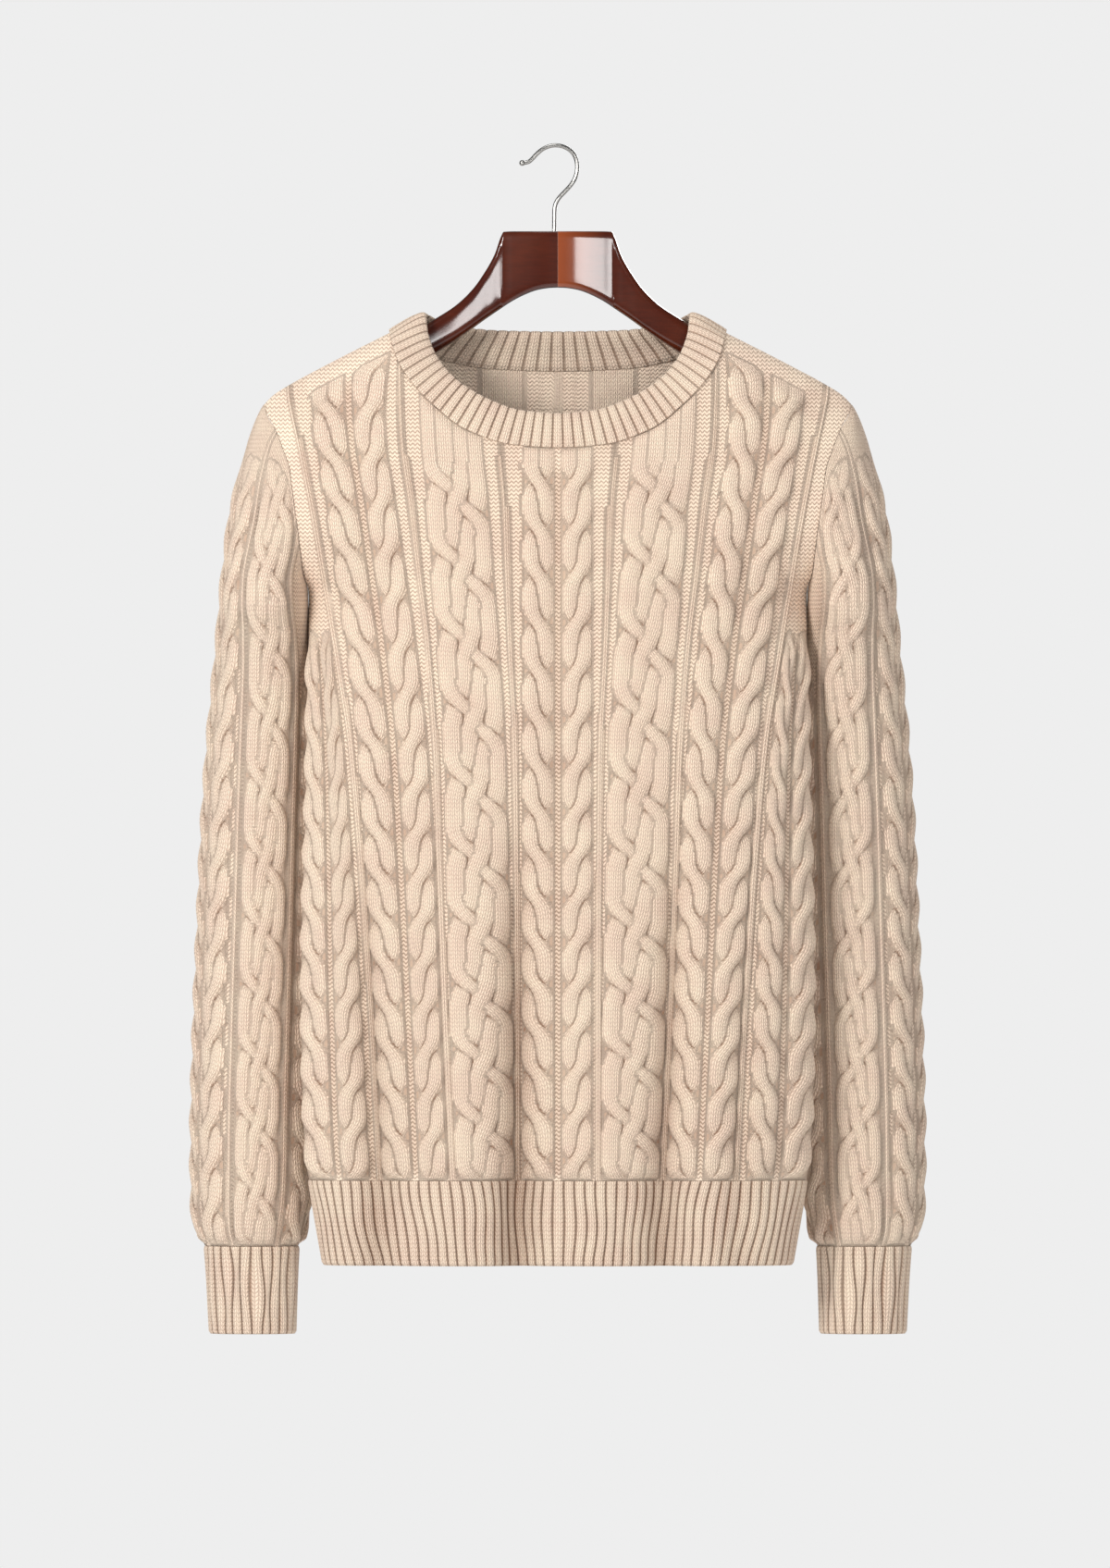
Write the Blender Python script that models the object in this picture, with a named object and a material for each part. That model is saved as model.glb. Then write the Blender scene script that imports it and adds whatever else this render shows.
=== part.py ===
"""Cable knit crew-neck sweater hanging on a broad wooden suit hanger.

Every size below is in millimetres and is turned into metres where a mesh is made.
+X is the wearer-facing viewer's right, the front of the sweater faces -Y and +Z is up.
The origin is the underside of the hook's crown, where the hook rests on a rail.
"""

import math

import bpy
from mathutils import Vector

MM = 0.001

# --- driving dimensions -------------------------------------------------------------------
WALL = 2.4  # knitted cloth, without its raised cables
SEAM_GAP = 0.3  # between two pieces that are sewn together
ARMHOLE_GAP = 0.4  # between a sleeve and the body, whose seam curves both ways
TINY = 1e-4
UNDERARM_Z = -324.0
ARMHOLE_TOP_Z = -185.0  # just under the shoulder tip, where the body first has depth
HEM_SEAM_Z = -737.0
HEM_END_Z = -798.0
CUFF_SEAM_Z = -785.0
CUFF_END_Z = -848.0
SHOULDER_TIP = Vector((210.0, 3.0, -184.0))
HOOK_PLACE = Vector((0.0, 13.0, 0.0))  # from the line of the shoulders, which the sizes below use

CROSSING = 32.8  # from one crossing of a rope cable to the next
ROW = CROSSING / 2  # two rows of points to each crossing
PLAIT_ROWS = 3  # rows of points to each repeat of the three-strand plait
ROPE_HIGH = 3.4  # strand on top
ROPE_LOW = 1.5  # strand passing under
PLAIT_HIGH = 3.4
RIB_HIGH = 1.7  # two-stitch rib between the cables

PLAIT_HALF = 22.5
PAIR_HALF = 25.5  # two rope cables side by side
LADDER = 2.6  # least ground between a cable and its rib

ROOF_DROP = 60.0  # below the shoulder line the body reaches its full depth
ROOF_POWER = 2.2
BACK_POWER = 2.2  # how square the back is, seen from above

HEM_RIBS = 112
CUFF_RIBS = 26
NECK_RIBS_FRONT = 46
NECK_RIBS_BACK = 28
RIB_SWELL = 0.9  # a rib's ridge above the band's middle surface, and its furrow below it

NECK_SIDE_X = 119.0  # where the neckband's seam crosses the shoulder
BAND_SIDE_X = 94.0  # where its folded edge crosses the shoulder
HOOK_RADIUS = 1.5
CORNER_TOP_Z = -150.0  # above this the first ground beside the pair runs to the neckline's corner
CORNER_BLEND = 70.0
SIDE_CABLE_TOP = -360.0  # the side's cables start below the underarm


class Table:
    """Named columns against the first one, joined by a smooth curve that doesn't overshoot."""

    def __init__(self, names, rows):
        self.names = names.split()
        self.columns = list(zip(*sorted(rows)))

    def at(self, name, x):
        xs = self.columns[0]
        ys = self.columns[self.names.index(name)]
        if x <= xs[0]:
            return ys[0]
        if x >= xs[-1]:
            return ys[-1]
        i = max(k for k in range(len(xs) - 1) if xs[k] <= x)
        step = xs[i + 1] - xs[i]
        t = (x - xs[i]) / step
        a, b = self.slope(xs, ys, i), self.slope(xs, ys, i + 1)
        return (
            ys[i] * (1 + 2 * t) * (1 - t) ** 2
            + ys[i + 1] * t * t * (3 - 2 * t)
            + step * (a * t * (1 - t) ** 2 - b * t * t * (1 - t))
        )

    @staticmethod
    def slope(xs, ys, i):
        if i in (0, len(xs) - 1):
            return 0.0 if i == 0 and xs[0] == 0 else Table.chord(xs, ys, max(i - 1, 0))
        before, after = Table.chord(xs, ys, i - 1), Table.chord(xs, ys, i)
        return 0.0 if before * after <= 0 else 2 * before * after / (before + after)

    @staticmethod
    def chord(xs, ys, i):
        return (ys[i + 1] - ys[i]) / (xs[i + 1] - xs[i])


# The body: its half width, how far its front and back stand out from the line of the side
# seam, which lies side_y behind the middle of the hanger, and how square its front is.
TORSO = Table(
    "z half_width front back side_y front_power",
    [
        (-131, 210.0, 43.0, 35.0, 3.0, 2.0),
        (-155, 210.0, 45.0, 38.0, 3.0, 2.0),
        (-186, 210.0, 47.0, 42.0, 3.0, 2.0),
        (-212, 206.0, 50.5, 46.0, 3.0, 2.0),
        (-235, 200.0, 54.0, 51.0, 4.0, 2.05),
        (-260, 192.0, 58.0, 55.0, 5.0, 2.1),
        (-285, 184.0, 61.5, 57.5, 6.0, 2.2),
        (-324, 178.0, 66.0, 59.0, 7.0, 2.4),
        (-345, 178.0, 61.5, 65.0, 1.0, 2.55),
        (-370, 178.2, 59.5, 70.5, -5.0, 2.7),
        (-400, 178.6, 58.5, 74.0, -9.5, 2.85),
        (-440, 179.2, 57.5, 76.0, -12.0, 3.0),
        (-600, 183.0, 58.0, 76.0, -12.0, 3.0),
        (-684, 182.0, 57.0, 74.0, -12.0, 3.0),
        (-720, 180.0, 56.0, 72.0, -12.0, 3.0),
        (-737, 177.5, 54.0, 70.0, -12.0, 3.0),
        (-798, 167.0, 48.0, 62.0, -12.0, 3.0),
    ],
)

# The shoulder line, and the line of the neckband's seam across the front and the back.
SHOULDER = Table(
    "x z",
    [
        (0, -70.0),
        (121, -133.0),
        (148, -146.6),
        (173, -159.6),
        (190, -168.8),
        (203, -177.0),
        (210, -184.0),
    ],
)
NECK_FRONT = Table(
    "x z",
    [
        (0, -215.0),
        (31, -213.0),
        (65, -202.0),
        (90, -183.0),
        (108, -163.0),
        (116, -147.0),
        (119, -131.6),
    ],
)
NECK_BACK = Table("x z", [(0, -155.0), (45, -153.5), (85, -146.0), (119, -131.6)])

# The neckband's folded edge.
BAND_FRONT = Table(
    "x z",
    [
        (0, -190.5),
        (25, -188.5),
        (45.5, -182.0),
        (68.6, -169.0),
        (84.5, -152.0),
        (92, -134.0),
        (94, -118.6),
    ],
)
BAND_BACK = Table("x z", [(0, -131.0), (45, -130.2), (78, -126.0), (94, -118.6)])
BAND_DEPTH = {"front": 44.0, "back": 29.0}

# Where the ribs that part the cables run: between the centre pair and the plait (inner),
# the plait and the next pair (middle), and that pair and the one at the side (outer).
RIBS = Table(
    "z inner middle outer",
    [
        (-150, 42.0, 112.0, 194.0),
        (-178, 42.0, 111.5, 191.0),
        (-212, 41.0, 110.0, 184.0),
        (-255, 37.5, 104.5, 175.5),
        (-303, 36.0, 99.0, 167.0),
        (-357, 34.0, 92.5, 158.0),
        (-430, 30.5, 87.0, 147.0),
        (-512, 29.5, 84.0, 140.0),
        (-605, 29.0, 80.5, 134.0),
        (-737, 28.5, 74.5, 127.0),
    ],
)

# The sleeve: its farthest point from the middle, its half width and half depth, the line
# that it hangs round, and how far round from that farthest point its cloth reaches before
# the armhole, which is the whole way round below the underarm.
SLEEVE = Table(
    "z reach half_width centre_y half_depth wrap",
    [
        (-184, 210.3, 0.3, 3.0, 0.6, 90.0),
        (-186, 211.6, 2.6, 3.0, 5.6, 90.0),
        (-189.5, 213.5, 5.2, 3.0, 10.5, 90.0),
        (-194, 215.6, 9.4, 3.2, 16.5, 90.0),
        (-200, 218.0, 15.5, 3.6, 23.0, 90.0),
        (-212, 222.0, 24.5, 4.5, 31.0, 90.0),
        (-235, 227.5, 36.4, 7.0, 39.0, 91.0),
        (-260, 230.8, 39.4, 8.0, 43.5, 96.0),
        (-285, 233.8, 32.6, 8.0, 46.5, 122.0),
        (-307, 236.2, 29.3, 7.5, 49.5, 152.0),
        (-324, 237.8, 29.9, 7.0, 50.0, 180.0),
        (-345, 239.6, 29.8, 15.0, 48.5, 180.0),
        (-370, 242.0, 30.5, 21.0, 47.0, 180.0),
        (-420, 246.8, 32.9, 27.5, 44.5, 180.0),
        (-480, 251.0, 35.0, 30.0, 42.0, 180.0),
        (-560, 254.4, 36.6, 31.0, 41.0, 180.0),
        (-640, 257.4, 37.7, 31.0, 40.5, 180.0),
        (-710, 258.8, 38.4, 31.0, 40.5, 180.0),
        (-750, 258.6, 38.5, 30.5, 39.5, 180.0),
        (-770, 256.6, 37.0, 29.0, 36.0, 180.0),
        (-785, 252.5, 33.4, 28.5, 31.0, 180.0),
        (-848, 248.5, 30.2, 28.0, 27.0, 180.0),
    ],
)
# Towards the shoulder the sleeve's cables draw in to the line of its farthest points.
CAP_SPREAD = Table("z share", [(-200, 0.74), (-235, 0.80), (-285, 0.90), (-345, 1.0)])

# Soft upright folds that grow from the chest to the hem: where the ridge stands at the hem
# and at the chest, how wide it is, how far it stands out, and where it starts.
FOLDS = [
    {"hem_x": -168.0, "chest_x": -150.0, "width": 30.0, "out": 5.0, "from_z": -420.0},
    {"hem_x": -68.0, "chest_x": -58.0, "width": 34.0, "out": 6.0, "from_z": -380.0},
    {"hem_x": 34.0, "chest_x": 22.0, "width": 30.0, "out": 5.0, "from_z": -400.0},
    {"hem_x": 124.0, "chest_x": 96.0, "width": 34.0, "out": 6.5, "from_z": -360.0},
]
BACK_FOLDS = [
    {"hem_x": -110.0, "chest_x": -90.0, "width": 38.0, "out": 6.0, "from_z": -400.0},
    {"hem_x": 8.0, "chest_x": 0.0, "width": 42.0, "out": 5.0, "from_z": -420.0},
    {"hem_x": 116.0, "chest_x": 92.0, "width": 36.0, "out": 6.0, "from_z": -380.0},
]

# The wooden hanger, from its middle out: top and bottom edges, half thickness, the line
# that it bends forward on, and how square its section is.
HANGER = [
    {"x": 0.15, "top": -60.0, "bottom": -100.0, "half": 11.0, "y": 13.0, "power": 7.0},
    {"x": 14.0, "top": -60.0, "bottom": -101.5, "half": 11.0, "y": 13.0, "power": 7.0},
    {"x": 27.0, "top": -60.0, "bottom": -106.5, "half": 11.0, "y": 13.0, "power": 7.0},
    {"x": 38.6, "top": -60.3, "bottom": -113.5, "half": 11.0, "y": 13.0, "power": 7.0},
    {"x": 40.6, "top": -63.5, "bottom": -115.0, "half": 10.6, "y": 12.6, "power": 5.0},
    {"x": 45.0, "top": -76.0, "bottom": -118.0, "half": 10.0, "y": 11.4, "power": 4.0},
    {"x": 51.5, "top": -88.0, "bottom": -122.5, "half": 9.8, "y": 10.2, "power": 3.5},
    {"x": 61.0, "top": -101.5, "bottom": -129.5, "half": 9.8, "y": 8.8, "power": 3.2},
    {"x": 73.0, "top": -113.0, "bottom": -138.0, "half": 10.0, "y": 7.4, "power": 3.0},
    {"x": 86.0, "top": -121.5, "bottom": -146.5, "half": 10.2, "y": 6.2, "power": 2.8},
    {"x": 100.0, "top": -129.6, "bottom": -155.0, "half": 10.6, "y": 5.0, "power": 2.6},
    {"x": 121.0, "top": -139.6, "bottom": -168.0, "half": 11.0, "y": 3.0, "power": 2.1},
    {"x": 148.0, "top": -154.5, "bottom": -184.5, "half": 12.0, "y": 2.6, "power": 2.0},
    {"x": 172.0, "top": -166.4, "bottom": -198.0, "half": 13.4, "y": 2.6, "power": 2.0},
    {"x": 186.0, "top": -176.4, "bottom": -204.0, "half": 12.6, "y": 3.0, "power": 2.0},
    {"x": 193.0, "top": -182.0, "bottom": -203.0, "half": 8.6, "y": 3.0, "power": 2.0},
    {"x": 196.0, "top": -186.0, "bottom": -198.0, "half": 4.0, "y": 3.0, "power": 2.0},
]
HANGER_SIDES = 12

# The hook's wire, from the block up and round to its tip, as x and z.
HOOK_POINTS = [
    (0.0, -59.6),
    (-1.6, -50.0),
    (-2.2, -40.0),
    (4.9, -31.8),
    (9.2, -27.6),
    (12.2, -22.6),
    (13.7, -16.8),
    (13.6, -10.6),
    (11.6, -4.9),
    (7.6, -0.8),
    (2.2, 1.4),
    (-4.4, 1.5),
    (-10.6, -0.6),
    (-15.8, -4.6),
    (-19.6, -8.8),
    (-23.0, -10.9),
    (-26.4, -10.2),
]


# --- the cloth's middle surface -----------------------------------------------------------
def superellipse(share, power):
    return max(0.0, 1 - min(1.0, abs(share)) ** power) ** (1 / power)


def roof(x, z):
    """How much of its full depth the body has, from none at the shoulder line."""
    below = (SHOULDER.at("z", min(abs(x), SHOULDER_TIP.x)) - z) / ROOF_DROP
    below = min(1.0, max(0.0, below))
    return (1 - (1 - below) ** ROOF_POWER) ** (1 / ROOF_POWER)


def folded(face, x, z):
    """The folds' height, which dies away at the chest and at the side seam."""
    height = 0.0
    for fold in FOLDS if face == "front" else BACK_FOLDS:
        share = (fold["from_z"] - z) / (fold["from_z"] - HEM_END_Z)
        if share <= 0:
            continue
        share = min(1.0, share)
        middle = fold["chest_x"] + (fold["hem_x"] - fold["chest_x"]) * share
        height += fold["out"] * share**1.3 * math.exp(-(((x - middle) / fold["width"]) ** 2))
    edge = abs(x) / TORSO.at("half_width", z)
    return height * max(0.0, 1 - edge**6)


def sleeve_angle_point(z, degrees):
    """x and y distance of the sleeve's surface, degrees round from its farthest point."""
    half = SLEEVE.at("half_width", z)
    turn = math.radians(degrees)
    x = SLEEVE.at("reach", z) - half * (1 - math.cos(turn))
    return x, SLEEVE.at("half_depth", z) * math.sin(turn)


def panel_edge(face, z):
    """The x and y of a body panel's outer edge: the side seam, or the armhole above it."""
    side_y = TORSO.at("side_y", z)
    if z <= UNDERARM_Z:
        return TORSO.at("half_width", z), side_y
    x, out = sleeve_angle_point(z, SLEEVE.at("wrap", z))
    middle = SLEEVE.at("centre_y", z)
    return x, middle - out if face == "front" else middle + out


def panel_point(face, x, z):
    """A point of the front's or back's middle surface."""
    side_y = TORSO.at("side_y", z)
    depth = TORSO.at(face, z)
    power = TORSO.at("front_power", z) if face == "front" else BACK_POWER
    half, _ = panel_edge(face, z)
    if z > UNDERARM_Z:
        # the panel ends at the armhole with some depth left, so its whole oval would be wider
        level = min(z, ARMHOLE_TOP_Z)
        edge_x, edge_y = panel_edge(face, level)
        whole = TORSO.at(face, level) * roof(edge_x, level)
        share = min(abs(edge_y - TORSO.at("side_y", level)) / whole, 0.97)
        half = edge_x / (1 - share**power) ** (1 / power)
    out = depth * roof(x, z) * superellipse(x / half, power) + folded(face, x, z)
    return Vector((x, side_y - out if face == "front" else side_y + out, z))


def along_edge(face, z, start_x, share):
    """The x that lies a share of the way from start_x to the panel's edge, along the cloth."""
    edge_x, _ = panel_edge(face, z)
    steps = 16
    xs = [start_x + (edge_x - start_x) * math.sin(k / steps * math.pi / 2) for k in range(steps + 1)]
    points = [panel_point(face, x, z) for x in xs]
    lengths = [0.0]
    for a, b in zip(points, points[1:]):
        lengths.append(lengths[-1] + (b - a).length)
    wanted = share * lengths[-1]
    for k in range(steps):
        if lengths[k + 1] >= wanted:
            run = max(lengths[k + 1] - lengths[k], 1e-9)
            return xs[k] + (xs[k + 1] - xs[k]) * (wanted - lengths[k]) / run
    return edge_x


def panel_top(face, x):
    """The height of a panel's upper edge: its neckline, then the shoulder line."""
    if abs(x) < NECK_SIDE_X - TINY:
        return (NECK_FRONT if face == "front" else NECK_BACK).at("z", abs(x))
    return SHOULDER.at("z", abs(x))


# --- the cables ---------------------------------------------------------------------------
def rope_height(place, hand, row):
    """A rope cable's height at its left or right strand, place -1 or 1, on a row of points."""
    on_top = (row % 2 == 0) == (place * hand < 0)
    return ROPE_HIGH if on_top else ROPE_LOW


def plait_strands(row):
    """Each strand's place across a plait, from -1 to 1, its height and its lean."""
    strands = []
    for k in range(3):
        turn = 2 * math.pi * (row / PLAIT_ROWS + k) / 3
        strands.append((-math.cos(turn), 0.62 + 0.38 * math.sin(2 * turn), math.sin(turn)))
    return strands


def plait_height(across, row):
    """The height of a three-strand plait, across from -1 to 1."""
    tops = []
    for place, height, _ in plait_strands(row):
        away = (across - 0.62 * place) / 0.5
        tops.append(PLAIT_HIGH * height * math.sqrt(max(0.0, 1 - away * away)))
    return max(tops)


def plait_lean(across, row):
    """Which way the top strand runs there: 1 down to the right, -1 down to the left."""
    strands = plait_strands(row)
    top = max(strands, key=lambda s: s[1] - 1.2 * abs(across - 0.62 * s[0]))
    return -1 if top[2] > 0 else 1


# Points across each pattern, from its left to its right: a place in half widths, and the
# relief that they carry.
PAIR_ACROSS = [
    (-1.0, None),
    (-0.72, ("rope", -1, 1)),
    (-0.37, ("rope", 1, 1)),
    (0.0, None),
    (0.37, ("rope", -1, -1)),
    (0.72, ("rope", 1, -1)),
    (1.0, None),
]
PLAIT_ACROSS = [(place, ("plait", place)) for place in (-1.0, -0.6, -0.2, 0.2, 0.6, 1.0)]
EDGE_OF_PLAIT = 0.99


def relief(kind, row):
    if kind is None:
        return 0.0
    if kind[0] == "rope":
        return rope_height(kind[1], kind[2], row)
    if kind[0] == "plait":
        return 0.0 if abs(kind[1]) > EDGE_OF_PLAIT else plait_height(kind[1], row)
    return RIB_HIGH


def lean(left, right, row):
    """The diagonal of the faces between two columns of points, above a row."""
    for kind in (left, right):
        if kind is not None and kind[0] == "rope":
            return kind[2]
    places = [kind[1] for kind in (left, right) if kind is not None and kind[0] == "plait"]
    return plait_lean(sum(places) / len(places), row + 0.5) if places else 1


def panel_layout():
    """The columns of points across a body panel: (block, place, relief), left to right."""
    layout = [(("edge", -1), 0, None)]
    outward = ["plait", "pair", "side"]
    blocks = [(kind, -1) for kind in outward[::-1]] + [("centre", 0)] + [(kind, 1) for kind in outward]
    for number, block in enumerate(blocks):
        if number:
            layout.append((("rib", number), 0, ("rib",)))
        across = PLAIT_ACROSS if block[0] == "plait" else PAIR_ACROSS
        layout += [(block, place, kind) for place, kind in across]
    return layout + [(("edge", 1), 0, None)]


def fitted(half, room):
    """A cable's half width where the ribs beside it leave that much room."""
    return min(half, room - LADDER)


def panel_x(face, block, place, z):
    """Where a column of points lies at height z, left as seen in front being negative."""
    inner, middle, outer = (RIBS.at(name, z) for name in ("inner", "middle", "outer"))
    kind, side = block
    if kind == "edge":
        return side * panel_edge(face, z)[0]
    if kind == "rib":
        return [None, -outer, -middle, -inner, inner, middle, outer][side]
    if kind == "centre":
        return place * fitted(PAIR_HALF, inner)
    if kind == "plait":
        return side * (inner + middle) / 2 + place * fitted(PLAIT_HALF, (middle - inner) / 2)
    if kind == "pair":
        x = side * (middle + outer) / 2 + place * fitted(PAIR_HALF, (outer - middle) / 2)
        if place * side == -1:
            share = min(1.0, max(0.0, (CORNER_TOP_Z - z) / CORNER_BLEND))
            x = side * NECK_SIDE_X + (x - side * NECK_SIDE_X) * share
        return x
    share = 0.5 + 0.42 * place * side
    return side * along_edge(face, z, outer, share)


# --- meshes from columns of points ---------------------------------------------------------
class Wall:
    """A closed cloth wall: fine outer columns of points over coarse inner ones."""

    def __init__(self):
        self.points = []
        self.faces = []

    def add(self, point):
        self.points.append(point)
        return len(self.points) - 1

    def strip(self, left, right, leans=None, flip=False):
        """Joins two lines of (key, point number) that run the same way, key by key."""
        i = j = 0
        while i < len(left) - 1 or j < len(right) - 1:
            key_left = left[i + 1][0] if i < len(left) - 1 else math.inf
            key_right = right[j + 1][0] if j < len(right) - 1 else math.inf
            a, b = left[i][1], right[j][1]
            if abs(key_left - key_right) < 1e-6:
                c, d = left[i + 1][1], right[j + 1][1]
                if leans is None or leans(key_left) > 0:
                    new = [(a, b, c), (b, d, c)]
                else:
                    new = [(a, b, d), (a, d, c)]
                i, j = i + 1, j + 1
            elif key_left < key_right:
                new = [(a, b, left[i + 1][1])]
                i += 1
            else:
                new = [(a, b, right[j + 1][1])]
                j += 1
            self.faces += [face[::-1] for face in new] if flip else new

    def build(self, name, material):
        mesh = bpy.data.meshes.new(name)
        places = [tuple((point - HOOK_PLACE) * MM) for point in self.points]
        mesh.from_pydata(places, [], self.faces)
        mesh.validate()
        mesh.update()
        mesh.shade_smooth()
        mesh.set_sharp_from_angle(angle=math.radians(50))
        return show(bpy.data.objects.new(name, mesh), material)


def point_normals(columns, closed):
    """Unit normals of a surface given as columns of (key, point), as the strips join them."""
    wall = Wall()
    numbered = [[(key, wall.add(point)) for key, point in column] for column in columns]
    pairs = list(zip(numbered, numbered[1:]))
    if closed:
        pairs.append((numbered[-1], numbered[0]))
    for left, right in pairs:
        wall.strip(left, right)
    sums = [Vector((0, 0, 0)) for _ in wall.points]
    for a, b, c in wall.faces:
        cross = (wall.points[b] - wall.points[a]).cross(wall.points[c] - wall.points[a])
        for corner in (a, b, c):
            sums[corner] += cross
    return [[sums[number].normalized() for _, number in column] for column in numbered]


def level(vector, axis):
    """The vector without one of its components, at unit length."""
    flat = vector.copy()
    flat[axis] = 0.0
    return flat.normalized()


def thick_columns(wall, columns, normals, heights, kept):
    """The outer and the inner columns of point numbers, the inner ones only where kept."""
    outer, inner = [], []
    for column, across, up, (keep, rows) in zip(columns, normals, heights, kept):
        outer.append(
            [(key, wall.add(p + n * h)) for (key, p), n, h in zip(column, across, up)]
        )
        if keep:
            line = []
            for r in rows:
                key, point = column[r]
                tuck = NECK_TUCK if r == len(column) - 1 and abs(point.x) < NECK_SIDE_X - TINY else 0.0
                line.append((key, wall.add(point - across[r] * WALL - Vector((0, 0, tuck)))))
            inner.append(line)
    return outer, inner


# --- materials and collection ---------------------------------------------------------------
def principled(name, colour, roughness, metallic=0.0):
    material = bpy.data.materials.new(name)
    material.use_nodes = True
    shader = material.node_tree.nodes["Principled BSDF"]
    shader.inputs["Base Color"].default_value = (*colour, 1.0)
    shader.inputs["Roughness"].default_value = roughness
    shader.inputs["Metallic"].default_value = metallic
    material.diffuse_color = (*colour, 1.0)
    return material


def show(obj, material):
    obj.data.materials.append(material)
    bpy.data.collections["cable_knit_sweater"].objects.link(obj)
    return obj


# --- the sleeves -----------------------------------------------------------------------------
def quarter_length(z, steps=24):
    """A quarter of the sleeve's way round, from its farthest point to its front."""
    length, last = 0.0, None
    for k in range(steps + 1):
        now = Vector(sleeve_angle_point(z, 90 * k / steps))
        length += (now - last).length if last else 0.0
        last = now
    return length


def angle_at(z, distance):
    """How many degrees round a distance along the sleeve's surface reaches."""
    steps, last, length = 90, Vector(sleeve_angle_point(z, 0)), 0.0
    for k in range(1, steps + 1):
        degrees = 180 * k / steps
        now = Vector(sleeve_angle_point(z, degrees))
        run = (now - last).length
        if length + run >= distance:
            return degrees - (1 - (distance - length) / run) * 180 / steps
        length, last = length + run, now
    return 180.0


def sleeve_layout():
    """Columns from the farthest line round to the inner one: (quarters, offset, relief)."""
    layout = [(0, place * PAIR_HALF, kind) for place, kind in PAIR_ACROSS if place > 0]
    layout = [(0, 0.0, None)] + layout + [("rib", 0.5, ("rib",))]
    layout += [(1, place * PLAIT_HALF, kind) for place, kind in PLAIT_ACROSS]
    layout += [("rib", 1.5, ("rib",))]
    layout += [(2, place * PAIR_HALF, kind) for place, kind in PAIR_ACROSS if place < 0]
    return layout + [(2, 0.0, None)]


def column_distance(entry, z):
    """How far round from the farthest line a sleeve's column lies at height z."""
    low = min(z, -345.0)
    quarter = quarter_length(low)
    tight = min(1.0, (quarter - 2 * LADDER) / (PAIR_HALF + PLAIT_HALF))
    where, offset, _ = entry
    if where == "rib":
        if offset < 1:
            distance = (PAIR_HALF * tight + quarter - PLAIT_HALF * tight) / 2
        else:
            distance = (3 * quarter + PLAIT_HALF * tight - PAIR_HALF * tight) / 2
    else:
        distance = where * quarter + offset * tight
    return distance * CAP_SPREAD.at("share", z)


def sleeve_column_top(entry):
    """The height at which a column of the sleeve meets the armhole."""
    if entry[0] == 2 and entry[1] == 0.0:
        return UNDERARM_Z
    low, high = UNDERARM_Z, SHOULDER_TIP.z
    for _ in range(30):
        middle = (low + high) / 2
        if angle_at(middle, column_distance(entry, middle)) < SLEEVE.at("wrap", middle):
            low = middle
        else:
            high = middle
    return low


def rows_between(bottom, top, margin):
    """The rows of points from bottom up to just under top."""
    rows = []
    number = 0
    while bottom + number * ROW < top - margin:
        rows.append((number, bottom + number * ROW))
        number += 1
    return rows


def sleeve_point(z, degrees, face):
    x, out = sleeve_angle_point(z, degrees)
    middle = SLEEVE.at("centre_y", z)
    return Vector((x, middle - out if face == "front" else middle + out, z))


SLEEVE_COLUMNS = sleeve_layout()
ARMHOLE_TOPS = [sleeve_column_top(entry) for entry in SLEEVE_COLUMNS]


def armhole(face):
    """The armhole's points on the +X side, from the shoulder's tip down to the underarm."""
    points = []
    for number, top in enumerate(ARMHOLE_TOPS):
        if number == 0:
            points.append(SHOULDER_TIP.copy())
        elif top <= UNDERARM_Z:
            points.append(Vector((*panel_edge(face, UNDERARM_Z), UNDERARM_Z)))
        else:
            points.append(Vector((*panel_edge(face, top), top)))
    return points


def armhole_axis():
    """The way the sleeve leaves the armhole, square to the line from its top to its bottom."""
    down = armhole("front")[-1] - SHOULDER_TIP
    return Vector((-down.z, 0.0, down.x)).normalized()


def armhole_normals(face):
    """Out of the armhole's ring at each of its points, shared by the panels and the sleeve."""
    points, other = armhole(face), armhole("back" if face == "front" else "front")
    line = [other[1]] + points + [other[-2]]
    normals = []
    for before, after in zip(line, line[2:]):
        out = (after - before).cross(armhole_axis())
        normals.append(out.normalized() * (-1 if face == "front" else 1))
    middle = (points[0] + points[-1]) / 2
    return [n if n.dot(p - middle) > 0 else -n for n, p in zip(normals, points)]


def mirrored(point, side):
    return Vector((point.x * side, point.y, point.z))


SLEEVE_CUFF_MARGIN = 6.0
FADE_ROWS = 2  # rows at a cable's ends that stay flat


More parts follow.
